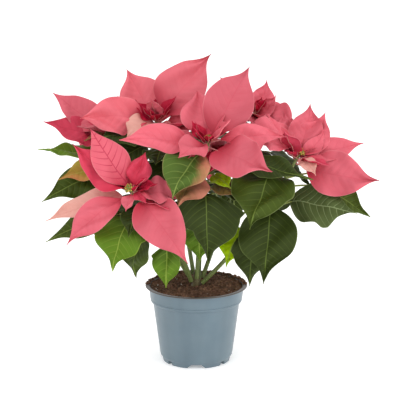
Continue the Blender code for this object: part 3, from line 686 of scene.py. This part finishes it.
def blade_room(start, blade, stalk, spread):
    """A plain closed stand-in for a blade, swelled by a spread, which measures the room that it takes."""
    points, sides, normals = blade_line(start, blade, stalk)
    length, width = blade[3], blade[4]
    half_thick = max(BLADE_THICK, length / SLENDER) / 2
    cup = math.radians(LEAF_CUP if stalk == LEAF_STALK else BRACT_CUP)
    stations = [(0.0, STALK_R, STALK_R)]
    if stalk == LEAF_STALK:
        stations.append((stalk, STALK_R, STALK_R * 0.9))
    for b in BLADE_STATIONS if length > SMALL_BLADE else SMALL_STATIONS:
        half = max(width / 2 * fullness(b, stalk), TIP_WIDE)
        stations.append((stalk + (1 - stalk) * b, half, half_thick))
    verts = []
    for s, half, thick in stations:
        at = between(s, np.linspace(0, 1, len(points)), points)
        i = min(int(s * (len(points) - 1) + 0.5), len(points) - 1)
        half, thick = half + spread, thick + spread
        lift = normals[i] * half * math.sin(cup) * (half > 2 * STALK_R)
        edge = sides[i] * half * math.cos(cup)
        ring = [at - edge + lift, at, at + edge + lift]
        verts += [p + normals[i] * thick for p in ring]
        verts += [p - normals[i] * thick for p in reversed(ring)]
    faces = [tuple(reversed(range(6))), tuple(range(len(verts) - 6, len(verts)))]
    for r in range(len(stations) - 1):
        faces += [(r * 6 + k, r * 6 + (k + 1) % 6, r * 6 + (k + 1) % 6 + 6, r * 6 + k + 6)
                  for k in range(6)]
    return [tuple(v) for v in verts], faces


def tube_room(line, top, bottom, sides=8):
    """A plain closed stretch of shoot between two drops."""
    drops = np.linspace(top, bottom, max(2, int((bottom - top) / 16) + 2))
    verts, faces = [], [tuple(range(sides))]
    for d in drops:
        _, side, other = axes(at_drop(line, max(0, d - 1)) - at_drop(line, min(line[1][-1], d + 1)))
        for k in range(sides):
            turn = math.tau * k / sides
            verts.append(tuple(at_drop(line, d) + shoot_radius(line, d) * (
                side * math.cos(turn) + other * math.sin(turn))))
    for r in range(len(drops) - 1):
        for k in range(sides):
            a, b = r * sides + k, r * sides + (k + 1) % sides
            faces.append((a, a + sides, b + sides, b))
    faces.append(tuple(range((len(drops) - 1) * sides, len(drops) * sides)))
    return verts, faces


def claim(node, piece):
    """Takes the room of a plain piece for a node."""
    claimed.append((node, BVHTree.FromPolygons(*piece)))


def with_room(node, line, blades, stalk, alone=False):
    """The blades that keep clear of every other part's space, which then claim their own. Blades that stand
    alone keep clear of their own part's blades too, and may touch only the shoot that bears them."""
    mine = (node, node.replace("leaves", "bough")) if alone else (node,)
    kept = []
    for blade in blades:
        start = at_drop(line, blade[0])
        tree = BVHTree.FromPolygons(*blade_room(start, blade, stalk, GAP))
        if not any((owner not in mine or alone and i >= stems) and tree.overlap(other)
                   for i, (owner, other) in enumerate(claimed)):
            kept.append(blade)
            claim(node, blade_room(start, blade, stalk, 0.0))
    return kept


def more_blades(shoot, draw, stalk):
    """Blades on the sides where none is listed, by the golden angle: steep on top and flatter below."""
    x, y, _ = shoot["tip"]
    lean_to, out = math.degrees(math.atan2(x, -y)), math.hypot(x, y)
    leaf = stalk == LEAF_STALK
    count, apart = (MORE_LEAVES, LEAF_APART) if leaf else (MORE_BRACTS, BRACT_APART)
    taken = [blade[1] for blade in shoot["leaves" if leaf else "bracts"] if blade[3] > LISTED_LONG]
    taken += shoot.get("bare", ())
    made = []
    for i in range(count):
        level = i / (count - 1)
        azimuth = shoot["foot"][0] + (60 if leaf else 0) + i * GOLDEN
        lean = LEAN * out / SPREAD * math.cos(math.radians(azimuth - lean_to))
        if leaf:
            length = 112 - 30 * level + draw.uniform(-6, 6)
            blade = (BRACT_ZONE + 7 + (LEAF_ZONE - 16) * level, azimuth, 24 - 24 * level - lean / 2,
                     length, 0.48 * length, 50 + 20 * level, draw.uniform(-10, 10),
                     ("dark", "mid", "dark")[i % 3])
        else:
            length = 46 + 44 * level + draw.uniform(-5, 5)
            blade = (6 + 12 * level, azimuth, 56 - 46 * level - lean, length, 0.5 * length,
                     10 + 24 * level, draw.uniform(-15, 15), ("coral", "coral", "rose")[i % 3])
        if all(abs((other - azimuth + 180) % 360 - 180) >= apart for other in taken):
            made.append(blade)
    return made


def flower_room(line):
    """The plain cup on a shoot's end and the six beads on it."""
    tip = at_drop(line, 0)
    along, side, other = axes(tip - at_drop(line, 4))
    turns = [k * math.tau / 8 for k in range(8)]
    rings = [tuple(tip + along * rise + radius * (side * math.cos(turn) + other * math.sin(turn)))
             for rise, radius in ((GAP, SHOOT_TIP_R), (4.0, 2.8)) for turn in turns]
    around = [(k, (k + 1) % 8, 8 + (k + 1) % 8, 8 + k) for k in range(8)]
    cup = (rings, [tuple(range(8)), tuple(range(8, 16))] + around)
    centres = [tip + along * 5.4]
    for k in range(5):
        a = math.tau * k / 5
        centres.append(tip + along * 4.3 + (side * math.cos(a) + other * math.sin(a)) * 3.0)
    return [cup] + [bead_room(centre, 1.9) for centre in centres]


def bead_room(centre, radius, sides=5, rings=3):
    """A small round bead of flat faces."""
    verts = [(centre[0], centre[1], centre[2] - radius)]
    for r in range(1, rings):
        turn = math.pi * r / rings
        for k in range(sides):
            a = math.tau * (k + 0.5 * (r % 2)) / sides
            out = radius * math.sin(turn)
            verts.append((centre[0] + out * math.cos(a), centre[1] + out * math.sin(a),
                          centre[2] - radius * math.cos(turn)))
    verts.append((centre[0], centre[1], centre[2] + radius))
    faces = []
    for k in range(sides):
        n = (k + 1) % sides
        faces.append((0, 1 + n, 1 + k))
        for r in range(rings - 2):
            a = 1 + r * sides
            faces.append((a + k, a + n, a + sides + n, a + sides + k))
        a = 1 + (rings - 2) * sides
        faces.append((a + k, a + n, len(verts) - 1))
    return verts, faces


claimed = []
corners = [aim(turn) * STEM_RADII[0] for turn in (0, 90, 180, 270)]
stem_room = [tuple(c + (0, 0, z)) for z in (STEM_FOOT, STEM_FOOT + STEM_HEIGHTS[-1]) for c in corners]
claim("main_stem", (stem_room, [(0, 1, 5, 4), (1, 2, 6, 5), (2, 3, 7, 6), (3, 0, 4, 7)]))
split = BRACT_ZONE + GAP + LEAF_ZONE
for name, line in LINES.items():
    claim("bough_" + name, tube_room(line, split + GAP, line[1][-1]))
    claim("leaves_" + name, tube_room(line, BRACT_ZONE + GAP, split))
    claim("bracts_" + name, tube_room(line, 0, BRACT_ZONE))
    for room in flower_room(line):
        claim("flowers_" + name, room)
stems = len(claimed)
BRACTS, LEAVES = {}, {}
for name, line in LINES.items():
    BRACTS[name] = with_room("bracts_" + name, line, SHOOTS[name]["bracts"], BRACT_STALK)
for name, line in LINES.items():
    LEAVES[name] = with_room("leaves_" + name, line, SHOOTS[name]["leaves"], LEAF_STALK)
for i, (name, line) in enumerate(LINES.items()):
    more = more_blades(SHOOTS[name], random.Random(i), BRACT_STALK)
    BRACTS[name] += with_room("bracts_" + name, line, more, BRACT_STALK)
for i, (name, line) in enumerate(LINES.items()):
    more = more_blades(SHOOTS[name], random.Random(20 + i), LEAF_STALK)
    LEAVES[name] += with_room("leaves_" + name, line, more, LEAF_STALK)


def inner_bracts(draw, low_count):
    """The ring of small bracts that stands close round the flowers, most in the deep finish of painted shade,
    and a few wider ones below it.
    """
    ring = [(draw.uniform(5, 8), k * GOLDEN + draw.uniform(-12, 12), draw.uniform(28, 52),
             draw.uniform(20, 34), draw.uniform(10, 16), draw.uniform(-30, 20), draw.uniform(-25, 25),
             ("deep", "rose", "deep")[k % 3], {"cup": 28}) for k in range(RING_BRACTS)]
    low = [(draw.uniform(9, 26), 50 + k * GOLDEN, draw.uniform(-10, 25), draw.uniform(38, 56),
            draw.uniform(24, 34), draw.uniform(0, 35), draw.uniform(-30, 30), ("rose", "coral")[k % 2],
            {"cup": 20}) for k in range(low_count)]
    return ring + low


def inner_leaves(line, draw):
    """Smaller dark leaves on the bare lengths of a shoot, in the shade of the crown."""
    low = min(line[1][-1] - 70, 120)
    return [(draw.uniform(24, low) if k > 12 else draw.uniform(24, 52), k * GOLDEN + 40,
             draw.uniform(-15, 35), draw.uniform(50, 88), draw.uniform(28, 44), draw.uniform(30, 70),
             draw.uniform(-15, 15), ("dark", "dark", "mid")[k % 3]) for k in range(INNER_LEAVES)]


for i, (name, line) in enumerate(LINES.items()):
    small = inner_bracts(random.Random(40 + i), SHOOTS[name].get("low", LOW_BRACTS))
    BRACTS[name] += with_room("bracts_" + name, line, small, BRACT_STALK)
for i, (name, line) in enumerate(LINES.items()):
    small = inner_leaves(line, random.Random(60 + i))
    LEAVES[name] += with_room("leaves_" + name, line, small, LEAF_STALK, alone=True)


def blade_finish(name, field, base, vein, rim, side_veins, midrib, roughness=0.5, bleed=0.35, patch=None):
    """Leaf skin: a soft wax over the tissue, deeper in colour at the base, which on bracts is partly their
    own colour and partly painted shade of the head's hollow, with paler or darker veins and a thin pale
    margin.
    Clouds of 18 mm make it uneven, cells of 2 mm roughen it, and some turn colour, where the lime of the
    bright finish is partly painted light shining through."""
    made, tree, shader, place = new_finish(name, roughness, ior=1.42)
    shader.inputs["Specular IOR Level"].default_value = 0.12
    sheet = add(tree, "ShaderNodeAttribute", attribute_name="blade_place")
    across = add(tree, "ShaderNodeSeparateXYZ", {"Vector": sheet.outputs["Vector"]})
    kind = add(tree, "ShaderNodeAttribute", attribute_name="blade_look")
    look = add(tree, "ShaderNodeSeparateXYZ", {"Vector": kind.outputs["Vector"]})
    from_vein = add(tree, "ShaderNodeMath", {0: across.outputs["X"], 1: 0.5}, operation="PINGPONG")
    line = add(tree, "ShaderNodeMapRange", {"Value": from_vein.outputs["Value"], "From Min": 0.01,
                                            "From Max": 0.09, "To Min": side_veins, "To Max": 0.0})
    share = add(tree, "ShaderNodeMath", {0: across.outputs["Z"]}, operation="ABSOLUTE")
    fade = add(tree, "ShaderNodeMapRange", {"Value": share.outputs["Value"], "From Min": 0.2, "To Min": 1.0,
                                            "To Max": 0.25})
    thin = add(tree, "ShaderNodeMath", {0: line.outputs["Result"], 1: fade.outputs["Result"]},
               operation="MULTIPLY")
    middle = add(tree, "ShaderNodeMapRange", {"Value": look.outputs["X"], "From Min": 0.2,
                                              "From Max": 0.9, "To Min": midrib, "To Max": 0.0})
    veins = add(tree, "ShaderNodeMath", {0: thin.outputs["Value"], 1: middle.outputs["Result"]},
                operation="MAXIMUM")
    cloud = add(tree, "ShaderNodeTexNoise", {"Vector": place, "Scale": 55.0, "Detail": 3.0})
    # Painted shade in part: towards the stalk the tissue turns to the base colour, which on bracts is partly
    # their own deeper red and partly the shade of the hollow where a head's blades crowd.
    low = add(tree, "ShaderNodeMapRange", {"Value": across.outputs["Y"], "From Min": bleed, "From Max": 0.0,
                                           "To Max": 0.85})
    tissue = add(tree, "ShaderNodeMix", {"Factor": low.outputs["Result"], "A": linear(field),
                                         "B": linear(base)}, data_type="RGBA")
    if patch:
        spread = add(tree, "ShaderNodeMath", {0: cloud.outputs["Fac"], 1: 0.5, 2: look.outputs["Z"]},
                     operation="MULTIPLY_ADD")
        where = add(tree, "ShaderNodeMapRange", {"Value": spread.outputs["Value"], "From Min": 0.55,
                                                 "From Max": 0.95})
        tissue = add(tree, "ShaderNodeMix", {"Factor": where.outputs["Result"], "A": tissue.outputs["Result"],
                                             "B": linear(patch)}, data_type="RGBA")
    uneven = add(tree, "ShaderNodeMath", {0: look.outputs["Y"], 1: cloud.outputs["Fac"]}, operation="ADD")
    value = add(tree, "ShaderNodeMapRange", {"Value": uneven.outputs["Value"], "From Min": 0.2,
                                             "From Max": 1.8, "To Min": 0.82, "To Max": 1.16})
    toned = add(tree, "ShaderNodeHueSaturation", {"Value": value.outputs["Result"],
                                                  "Color": tissue.outputs["Result"]})
    veined = add(tree, "ShaderNodeMix", {"Factor": veins.outputs["Value"], "A": toned.outputs["Color"],
                                         "B": linear(vein)}, data_type="RGBA")
    edge = add(tree, "ShaderNodeMapRange", {"Value": share.outputs["Value"], "From Min": 0.96,
                                            "From Max": 1.0, "To Max": 0.45})
    edged = add(tree, "ShaderNodeMix", {"Factor": edge.outputs["Result"], "A": veined.outputs["Result"],
                                        "B": linear(rim)}, data_type="RGBA")
    tree.links.new(edged.outputs["Result"], shader.inputs["Base Color"])
    cells = add(tree, "ShaderNodeTexNoise", {"Vector": place, "Scale": 420.0, "Detail": 3.0})
    relief = add(tree, "ShaderNodeMath", {0: cells.outputs["Fac"], 1: 0.35, 2: veins.outputs["Value"]},
                 operation="MULTIPLY_ADD")
    skin = add(tree, "ShaderNodeBump", {"Height": relief.outputs["Value"], "Distance": 0.0005,
                                        "Strength": 0.6})
    tree.links.new(skin.outputs["Normal"], shader.inputs["Normal"])
    return made


def blade_sheet(across, along):
    """The flat sheet that a blade starts from: 2 wide, 1 long, and closed, its underside in slot 1."""
    bpy.ops.mesh.primitive_grid_add(x_subdivisions=across, y_subdivisions=along, size=2, location=(0, 0, 0))
    made = bpy.context.object
    made.name = "blade_sheet"
    bpy.ops.object.mode_set(mode="EDIT")
    bpy.ops.mesh.select_all(action="SELECT")
    bpy.ops.transform.resize(value=(1, 0.5, 1))
    bpy.ops.transform.translate(value=(0, 0.5, 0))
    bpy.ops.object.mode_set(mode="OBJECT")
    made.data.materials.append(FINISHES["coral"][0])
    made.data.materials.append(FINISHES["coral"][1])
    wall = made.modifiers.new("wall", "SOLIDIFY")
    wall.thickness = 0.02
    wall.offset = 0.0
    wall.material_offset = 1
    bpy.ops.object.modifier_apply(modifier=wall.name)
    flat = np.empty(len(made.data.vertices) * 3)
    made.data.vertices.foreach_get("co", flat)
    return made, flat.reshape(-1, 3)


def grow_blade(start, blade, stalk, draw):
    """One blade's sheet laid along its middle line, and its stalk with the midrib."""
    _, _, _, length, width, _, _, finish = blade[:8]
    extra = blade[8] if len(blade) > 8 else {}
    model, flat = SHEETS[length < COARSE_UNDER]
    points, sides, normals = blade_line(start, blade, stalk, 48)
    stops = np.linspace(0, 1, len(points))
    leaf = stalk == LEAF_STALK
    lamina = length * (1 - stalk)
    u = np.sign(flat[:, 0]) * np.abs(flat[:, 0]) ** 1.25
    b = np.clip(flat[:, 1], 0, 1)
    rise, fall = LEAF_SHAPE if leaf else BRACT_SHAPE
    rise *= extra.get("early", 1.0)
    widest = rise / (rise + fall)
    inner = np.clip(b, 1e-6, 1 - 1e-6)
    wide = (inner / widest) ** rise * ((1 - inner) / (1 - widest)) ** fall
    narrows, over, most = (0.58, 0.3, 0.5) if leaf else (0.68, 0.24, 0.42)
    drawn = np.clip((b - narrows) / over, 0, 1)
    wide *= 1 - extra.get("drawn", most) * drawn * drawn * (3 - 2 * drawn)
    usual = TEETH[draw.randrange(len(TEETH))] if leaf and length > 90 else []
    for side, at, size in extra.get("teeth", usual):
        x = (b - at) / 0.1
        point = np.where(x < 0, np.clip(1 + x / 2.0, 0, 1) ** 1.3, np.clip(1 - x / 0.6, 0, 1))
        wide = wide * (1 + size * (np.sign(u) == side) * point)
    if "lobed" in extra:
        side, at, size = extra["lobed"]
        inset = np.clip((b - at) / 0.12, 0, 1)
        wide = wide * (1 - size * (np.sign(u) == side) * inset * inset * (3 - 2 * inset))
    half = np.maximum(width / 2 * wide, 0.5)
    s = stalk + (1 - stalk) * b
    at, side, up = (between(s, stops, rows) for rows in (points, sides, normals))
    side /= np.linalg.norm(side, axis=1)[:, None]
    up /= np.linalg.norm(up, axis=1)[:, None]
    cup = math.radians(extra.get("cup", LEAF_CUP if leaf else BRACT_CUP))
    lateral = u * half
    folded = np.sqrt(lateral ** 2 + (0.12 * half) ** 2) - 0.12 * half
    veins = max(5, int(lamina / (LEAF_VEINS_APART if leaf else BRACT_VEINS_APART)))
    slant = (0.42 * np.abs(lateral) + 0.9 * lateral ** 2 / width) / lamina
    phase = veins * (b - slant) + 0.45 * (u > 0)
    taper = np.sin(math.pi * np.clip(b, 0, 1)) ** 0.6
    quilt = (0.5 - 0.5 * np.cos(2 * math.pi * phase)) * np.minimum(1, 6 * np.abs(u)) * (1 - u ** 4)
    high = (LEAF_PUFF if leaf else BRACT_PUFF) * quilt * taper * min(1.0, width / 40)
    turns, start_turn = draw.uniform(1.6, 2.8), draw.uniform(0, math.tau)
    wave = width * draw.uniform(0.035, 0.07) * extra.get("wave", 1.0)
    ruffle = wave * u ** 2 * taper * np.sin(math.tau * turns * b + start_turn + 1.7 * (u > 0))
    for _ in range(RUFFLES):
        across_turns, along_turns = draw.uniform(0.4, 1.1), draw.uniform(0.8, 2.2)
        swing = np.sin(math.tau * (across_turns * u + along_turns * b) + draw.uniform(0, math.tau))
        ruffle += (LEAF_RUFFLE if leaf else BRACT_RUFFLE) * width * taper * swing
    sway = draw.uniform(-0.05, 0.05) * length * b ** 2.2
    curl = extra.get("curl", 0.0) * half * np.abs(u) ** 3
    height = folded * math.sin(cup) + high + ruffle - curl
    place = at + side * (lateral * math.cos(cup) + sway)[:, None]
    place += up * (height + np.sign(flat[:, 2]) * SHEET_THICK / 2)[:, None]
    mesh = model.data.copy()
    mesh.vertices.foreach_set("co", (place * MM).ravel())
    mesh.materials.clear()
    for look in FINISHES[finish]:
        mesh.materials.append(look)
    spread = mesh.attributes.new("blade_place", "FLOAT_VECTOR", "POINT")
    spread.data.foreach_set("vector", np.stack([phase, b, u], 1).ravel())
    patch = extra.get("patch", (0.0, 0.0, 0.0))
    placed = patch[0] + patch[1] * u + patch[2] * b
    tone = np.full(len(b), extra.get("tone", draw.random()))
    seen = mesh.attributes.new("blade_look", "FLOAT_VECTOR", "POINT")
    seen.data.foreach_set("vector", np.stack([np.abs(lateral), tone, placed], 1).ravel())
    sheet = bpy.data.objects.new("sheet", mesh)
    bpy.context.scene.collection.objects.link(sheet)
    under = (np.abs(flat[:, 0]) < 1e-4) & (flat[:, 2] < 0) & (b > 0.03) & (b < 0.93)
    order = np.argsort(b[under])
    spine, spine_up, reach = (rows[under][order][::2] for rows in (place, up, b))
    stout = LEAF_RIB if leaf else BRACT_RIB
    rib = stout * np.interp(reach, [0, 0.93], [0.95, 0.2])
    spine = spine - spine_up * (rib * 0.55)[:, None]
    bare = np.linspace(0, stalk, STALK_STEPS)
    path = np.concatenate([between(bare, stops, points), spine])
    thick = np.concatenate([np.linspace(1.35, 1.0, STALK_STEPS) * stout, rib])
    rib_points, rib_faces = sweep(path, thick, 8, draw.uniform(0, math.tau))
    return [sheet, piece_of("rib", rib_points, rib_faces, PETIOLE["leaf" if leaf else "bract"])]


def gather(name, parts):
    """Joins parts into one named piece with smooth faces."""
    bpy.ops.object.select_all(action="DESELECT")
    for part in parts:
        part.select_set(True)
    bpy.context.view_layer.objects.active = parts[0]
    bpy.ops.object.join()
    made = bpy.context.object
    made.name = made.data.name = name
    bpy.ops.object.shade_smooth_by_angle(angle=math.radians(60))
    return made


# Each finish has a skin on its top and one on its underside: a name, the colours of its field, base (on
# bracts partly painted shade), veins and rim, the shares of its side veins and midrib (then roughness and
# bleed), and a second colour, if any.
BRACT_UNDER, LEAF_UNDER, YOUNG_UNDER = (0.3, 0.5, 0.5, 0.6), (0.5, 0.9, 0.62), (0.45, 0.9, 0.6)
SKINS = {
    "coral": (("coral_bract_skin", "CF616E B01430 BE4456 DD9094", (0.2, 0.3), None),
              ("pale_bract_underside", "CC7074 BC4457 C47C78 DFA79C", BRACT_UNDER, None)),
    "light": (("light_coral_bract_skin", "DC6B76 C02B46 CC5464 E49A9C", (0.2, 0.3), None),
              ("light_coral_bract_underside", "D07A7C C04C5C C8827E E2ABA0", BRACT_UNDER, None)),
    "rose": (("rose_bract_skin", "C43E54 A80A28 B03048 D4808A", (0.12, 0.3), None),
             ("rose_bract_underside", "C45F68 B03A4C B86A6C D8968E", BRACT_UNDER, None)),
    "salmon": (("salmon_bract_skin", "D27F7E C2475E CA6A70 E3AFA4", (0.15, 0.35), None),
               ("salmon_bract_underside", "D19184 C46A6A D09C8C E0B6A6", BRACT_UNDER, None)),
    "blush": (("blush_bract_skin", "D39C90 CC6C70 CE8A84 E3BDAF", (0.2, 0.3), None),
              ("blush_bract_underside", "D2A092 C88078 CFA092 E2BFB0", BRACT_UNDER, None)),
    # Painted shade: the deep finish is a darker crimson copy of the bract skin, for small bracts deep in a
    # head's hollow.
    "deep": (("crimson_bract_skin", "B01C38 78041C 980C2A C04A5A", (0.15, 0.3), None),
             ("shaded_crimson_bract_underside", "A33548 7E1628 B2565E C87078", BRACT_UNDER, None)),
    "veined": (("veined_bract_skin", "CB5C6A A8102F A2143A E2A6A2", (0.75, 0.6), "B02644"),
               ("veined_bract_underside", "CF7C8C B03A54 A82440 E3A79C", (0.75, 0.8, 0.5, 0.6), None)),
    "turning": (("turning_bract_skin", "4E6428 405420 8FA052 B5A070", (0.4, 0.8), "C87A62"),
                ("turning_bract_underside", "8C8A58 7D8348 B0A468 D0A890", (0.4, 0.8, 0.5, 0.6), "CC8A78")),
    "dark": (("dark_leaf_skin", "313C16 283210 6A7C38 7E8E50", (0.24, 0.65, 0.45), None),
             ("grey_leaf_underside", "56653E 4C5C36 7C8C54 A4B084", LEAF_UNDER, None)),
    "mid": (("green_leaf_skin", "3E4C18 323E14 74873E 94A266", (0.3, 0.8, 0.45), None),
            ("green_leaf_underside", "60743E 526636 88985A AAB684", LEAF_UNDER, None)),
    "grey": (("greyish_leaf_skin", "4C5830 404C28 8C9A6C A0AC80", (0.6, 0.8, 0.5), None),
             ("greyish_leaf_underside", "647350 566544 8E9C70 AAB68C", LEAF_UNDER, None)),
    # Painted light in part: the bright finish, most of all its lime second colour, is partly the lighter
    # green of young leaves and partly light shining through thin leaves from behind.
    "bright": (("young_backlit_leaf_skin", "56741C 35491A 94A848 A9BE4C", (0.3, 0.8, 0.45, 0.5), "A4C808"),
               ("young_leaf_underside", "7A9038 64782C 98AC54 B8C678", YOUNG_UNDER, None)),
    "amber": (("amber_leaf_skin", "9C8E34 6E7A2A B0A050 D0906C", (0.3, 0.7, 0.45, 0.5), "C47C50"),
              ("amber_leaf_underside", "A89A58 8A8A48 B4A868 D0A080", (0.4, 0.9, 0.6), None)),
    "bronze": (("bronze_leaf_skin", "745C32 565228 8C704C BC8468", (0.4, 0.7, 0.45, 0.5), "C27666"),
               ("bronze_leaf_underside", "7C6248 6C543E 988060 AE907A", YOUNG_UNDER, None)),
}
FINISHES = {kind: [blade_finish(name, *colours.split(), *shares, patch=patch)
                   for name, colours, shares, patch in pair] for kind, pair in SKINS.items()}
PETIOLE = {"leaf": stem_skin("leaf_stalk_skin", "76863A", "98A256", "B0B078"),
           "bract": stem_skin("bract_stalk_skin", "B9606A", "C98A7C", "C9988C")}
SHEETS = [blade_sheet(*grid) for grid in SHEET_GRIDS]
for name, line in LINES.items():
    for kind, blades, stalk, slot in (("bracts", BRACTS[name], BRACT_STALK, "pink_bract"),
                                      ("leaves", LEAVES[name], LEAF_STALK, "green_leaf")):
        parts = []
        for i, blade in enumerate(blades):
            parts += grow_blade(at_drop(line, blade[0]), blade, stalk, random.Random(f"{kind} {name} {i}"))
        made = gather(f"{'coloured_bracts' if kind == 'bracts' else 'green_leaves'}_of_{name}", parts)
        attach(made, "root")
        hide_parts(f"{kind}_{name}")
for model, _ in SHEETS:
    bpy.data.objects.remove(model)


# Flowers: each head carries a cluster of small green cups of leathery tissue. A cup has one yellow
# two-lipped gland on its side and a tuft of red-tipped stamens in its mouth. The middle cup is the largest.
CUP_TALL, CUP_WIDE = 5.4, 4.0
CUPS = [(0.0, 0.0, 1.0)]
for first, out, size in ((10, 4.0, 0.9), (40, 6.6, 0.62)):
    CUPS += [(k * 60 + first, out, size) for k in range(6)]
CUP_OUTLINE = [(0.0, 0.0), (0.22, 0.03), (0.42, 0.2), (0.5, 0.45), (0.47, 0.7), (0.36, 0.88), (0.3, 0.95),
               (0.24, 0.97), (0.2, 0.9), (0.0, 0.84)]
CUP_SIDES, STAMENS = 10, 4
GLAND_RADII, STAMEN_RADII = (0.25, 0.5, 0.6, 0.6, 0.5, 0.25), (0.2, 0.2, 0.22, 0.45, 0.25)


def cup_skin(name, low, high, roughness):
    """Fleshy tissue with a moist shine, mottled light and dark in flecks of 2 mm."""
    made, tree, shader, place = new_finish(name, roughness)
    cloud = add(tree, "ShaderNodeTexNoise", {"Vector": place, "Scale": 450.0, "Detail": 2.0})
    tint = add(tree, "ShaderNodeMix", {"Factor": cloud.outputs["Fac"], "A": linear(low), "B": linear(high)},
               data_type="RGBA")
    tree.links.new(tint.outputs["Result"], shader.inputs["Base Color"])
    return made


CUP_GREEN = cup_skin("green_cup_skin", "5E7230", "94A048", 0.4)
GLAND = cup_skin("yellow_gland_skin", "C9B040", "DCCB66", 0.3)
STAMEN = cup_skin("red_stamen_skin", "B04A2A", "C88A3A", 0.5)


def flower_cup(centre, along, facing, size, draw):
    """One cup with its gland and its tuft of stamens."""
    along = np.array(along) / np.linalg.norm(along)
    side = np.cross(along, facing)
    side /= np.linalg.norm(side)
    front = np.cross(side, along)
    sides = CUP_SIDES
    points, faces = [], []
    for r, z in CUP_OUTLINE[1:-1]:
        for k in range(sides):
            a = math.tau * k / sides
            ribbed = r * (1 + 0.06 * math.cos(5 * a))
            points.append(tuple(centre + size * (along * z * CUP_TALL + CUP_WIDE * ribbed * (
                side * math.cos(a) + front * math.sin(a)))))
    points += [tuple(centre), tuple(centre + along * size * CUP_TALL * CUP_OUTLINE[-1][1])]
    rings = len(CUP_OUTLINE) - 2
    for k in range(sides):
        n = (k + 1) % sides
        faces.append((rings * sides, n, k))
        faces += [(r * sides + k, r * sides + n, (r + 1) * sides + n, (r + 1) * sides + k)
                  for r in range(rings - 1)]
        faces.append(((rings - 1) * sides + k, (rings - 1) * sides + n, rings * sides + 1))
    parts = [piece_of("cup", points, faces, CUP_GREEN)]
    spot = centre + size * (along * 0.68 * CUP_TALL + front * 0.56 * CUP_WIDE)
    for lip in (-1, 1):
        bow = [spot + size * (side * 1.5 * x + along * lip * (0.75 - 0.5 * x * x)
                              + front * (0.5 - 0.4 * x * x)) for x in np.linspace(-1, 1, len(GLAND_RADII))]
        parts.append(piece_of("gland", *sweep(bow, np.array(GLAND_RADII) * size, 6), GLAND))
    for _ in range(STAMENS):
        tilt = side * draw.uniform(-0.35, 0.35) + front * draw.uniform(-0.35, 0.35)
        base = centre + along * size * CUP_TALL * 0.8
        tip = base + (along + tilt) * size * draw.uniform(1.6, 2.6)
        line = np.linspace(base, tip, len(STAMEN_RADII))
        parts.append(piece_of("stamen", *sweep(line, np.array(STAMEN_RADII) * size, 6), STAMEN))
    return parts


for name, line in LINES.items():
    draw = random.Random("flowers " + name)
    tip = at_drop(line, 0)
    along, side, other = axes(tip - at_drop(line, 4))
    parts = []
    for turn, out, size in CUPS:
        a = math.radians(turn + draw.uniform(-12, 12))
        radial = side * math.cos(a) + other * math.sin(a)
        base = tip + along * (0.4 - 0.12 * out) + radial * out * 0.55
        lean = along + radial * out * 0.075
        parts += flower_cup(base, lean, radial if out else side, size * draw.uniform(0.9, 1.05), draw)
    made = gather("flower_cups_of_" + name, parts)
    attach(made, "root")
    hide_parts("flowers_" + name)


# Studio: a wide floor of matt white paper in a white room that lights from all round, with a large soft
# lamp over the camera's left shoulder, a weaker one at its right and a narrow strip that edges the pot. The
# camera looks a little down on the plant.
CAMERA_ELEVATION = 12.5
CAMERA_AWAY = 1.9
AIM_AT = (0.0047, 0.0, 0.209)
MM_PER_PIXEL, PIXELS, SENSOR = 1.262, 400, 36
WHITE = (1.0, 1.0, 1.0, 1.0)
LAMPS = [
    ("key", (-0.9, -1.6, 1.9), 1.6, 1.6, 10.5),
    ("fill", (1.6, -1.2, 0.9), 1.6, 1.6, 6.0),
    ("strip", (0.95, -0.75, 0.25), 0.12, 0.7, 1.6),
]
bpy.ops.object.select_all(action="DESELECT")
bpy.ops.mesh.primitive_plane_add(size=30, location=(0, 0, -0.0002))
floor = bpy.context.object
floor.name = "studio_floor"
# The paper is dull, with flecks of 2.5 mm a shade darker, and its faint glow keeps it white in the shade.
paper, paper_tree, paper_shader, paper_place = new_finish("matt_white_paper", 0.9)
fleck = add(paper_tree, "ShaderNodeTexNoise", {"Scale": 400.0, "Vector": paper_place})
white = add(paper_tree, "ShaderNodeMix", {"Factor": fleck.outputs["Fac"], "A": linear("F6F6F6"),
                                          "B": linear("FBFBFB")}, data_type="RGBA")
paper_tree.links.new(white.outputs["Result"], paper_shader.inputs["Base Color"])
paper_shader.inputs["Emission Color"].default_value = WHITE
paper_shader.inputs["Emission Strength"].default_value = 0.3
floor.data.materials.append(paper)
world = bpy.data.worlds.new("white_room")
world.use_nodes = True
world.node_tree.nodes["Background"].inputs["Color"].default_value = WHITE
world.node_tree.nodes["Background"].inputs["Strength"].default_value = 1.1
bpy.context.scene.world = world
for name, where, size, tall, power in LAMPS:
    lamp = bpy.data.lights.new(name, "AREA")
    lamp.shape = "RECTANGLE"
    lamp.size = size
    lamp.size_y = tall
    lamp.energy = power
    holder = bpy.data.objects.new(name, lamp)
    holder.location = where
    holder.rotation_euler = (Vector(AIM_AT) - Vector(where)).to_track_quat("-Z", "Y").to_euler()
    bpy.context.scene.collection.objects.link(holder)
camera = bpy.data.objects.new("camera", bpy.data.cameras.new("camera"))
tilt = math.radians(CAMERA_ELEVATION)
camera.location = Vector(AIM_AT) + CAMERA_AWAY * Vector((0, -math.cos(tilt), math.sin(tilt)))
camera.rotation_euler = (math.pi / 2 - tilt, 0, 0)
camera.data.sensor_width = SENSOR
camera.data.lens = SENSOR * CAMERA_AWAY / (PIXELS * MM_PER_PIXEL * MM)
camera.data.clip_end = 100
bpy.context.scene.collection.objects.link(camera)
bpy.context.scene.camera = camera
bpy.context.scene.view_settings.view_transform = "Standard"
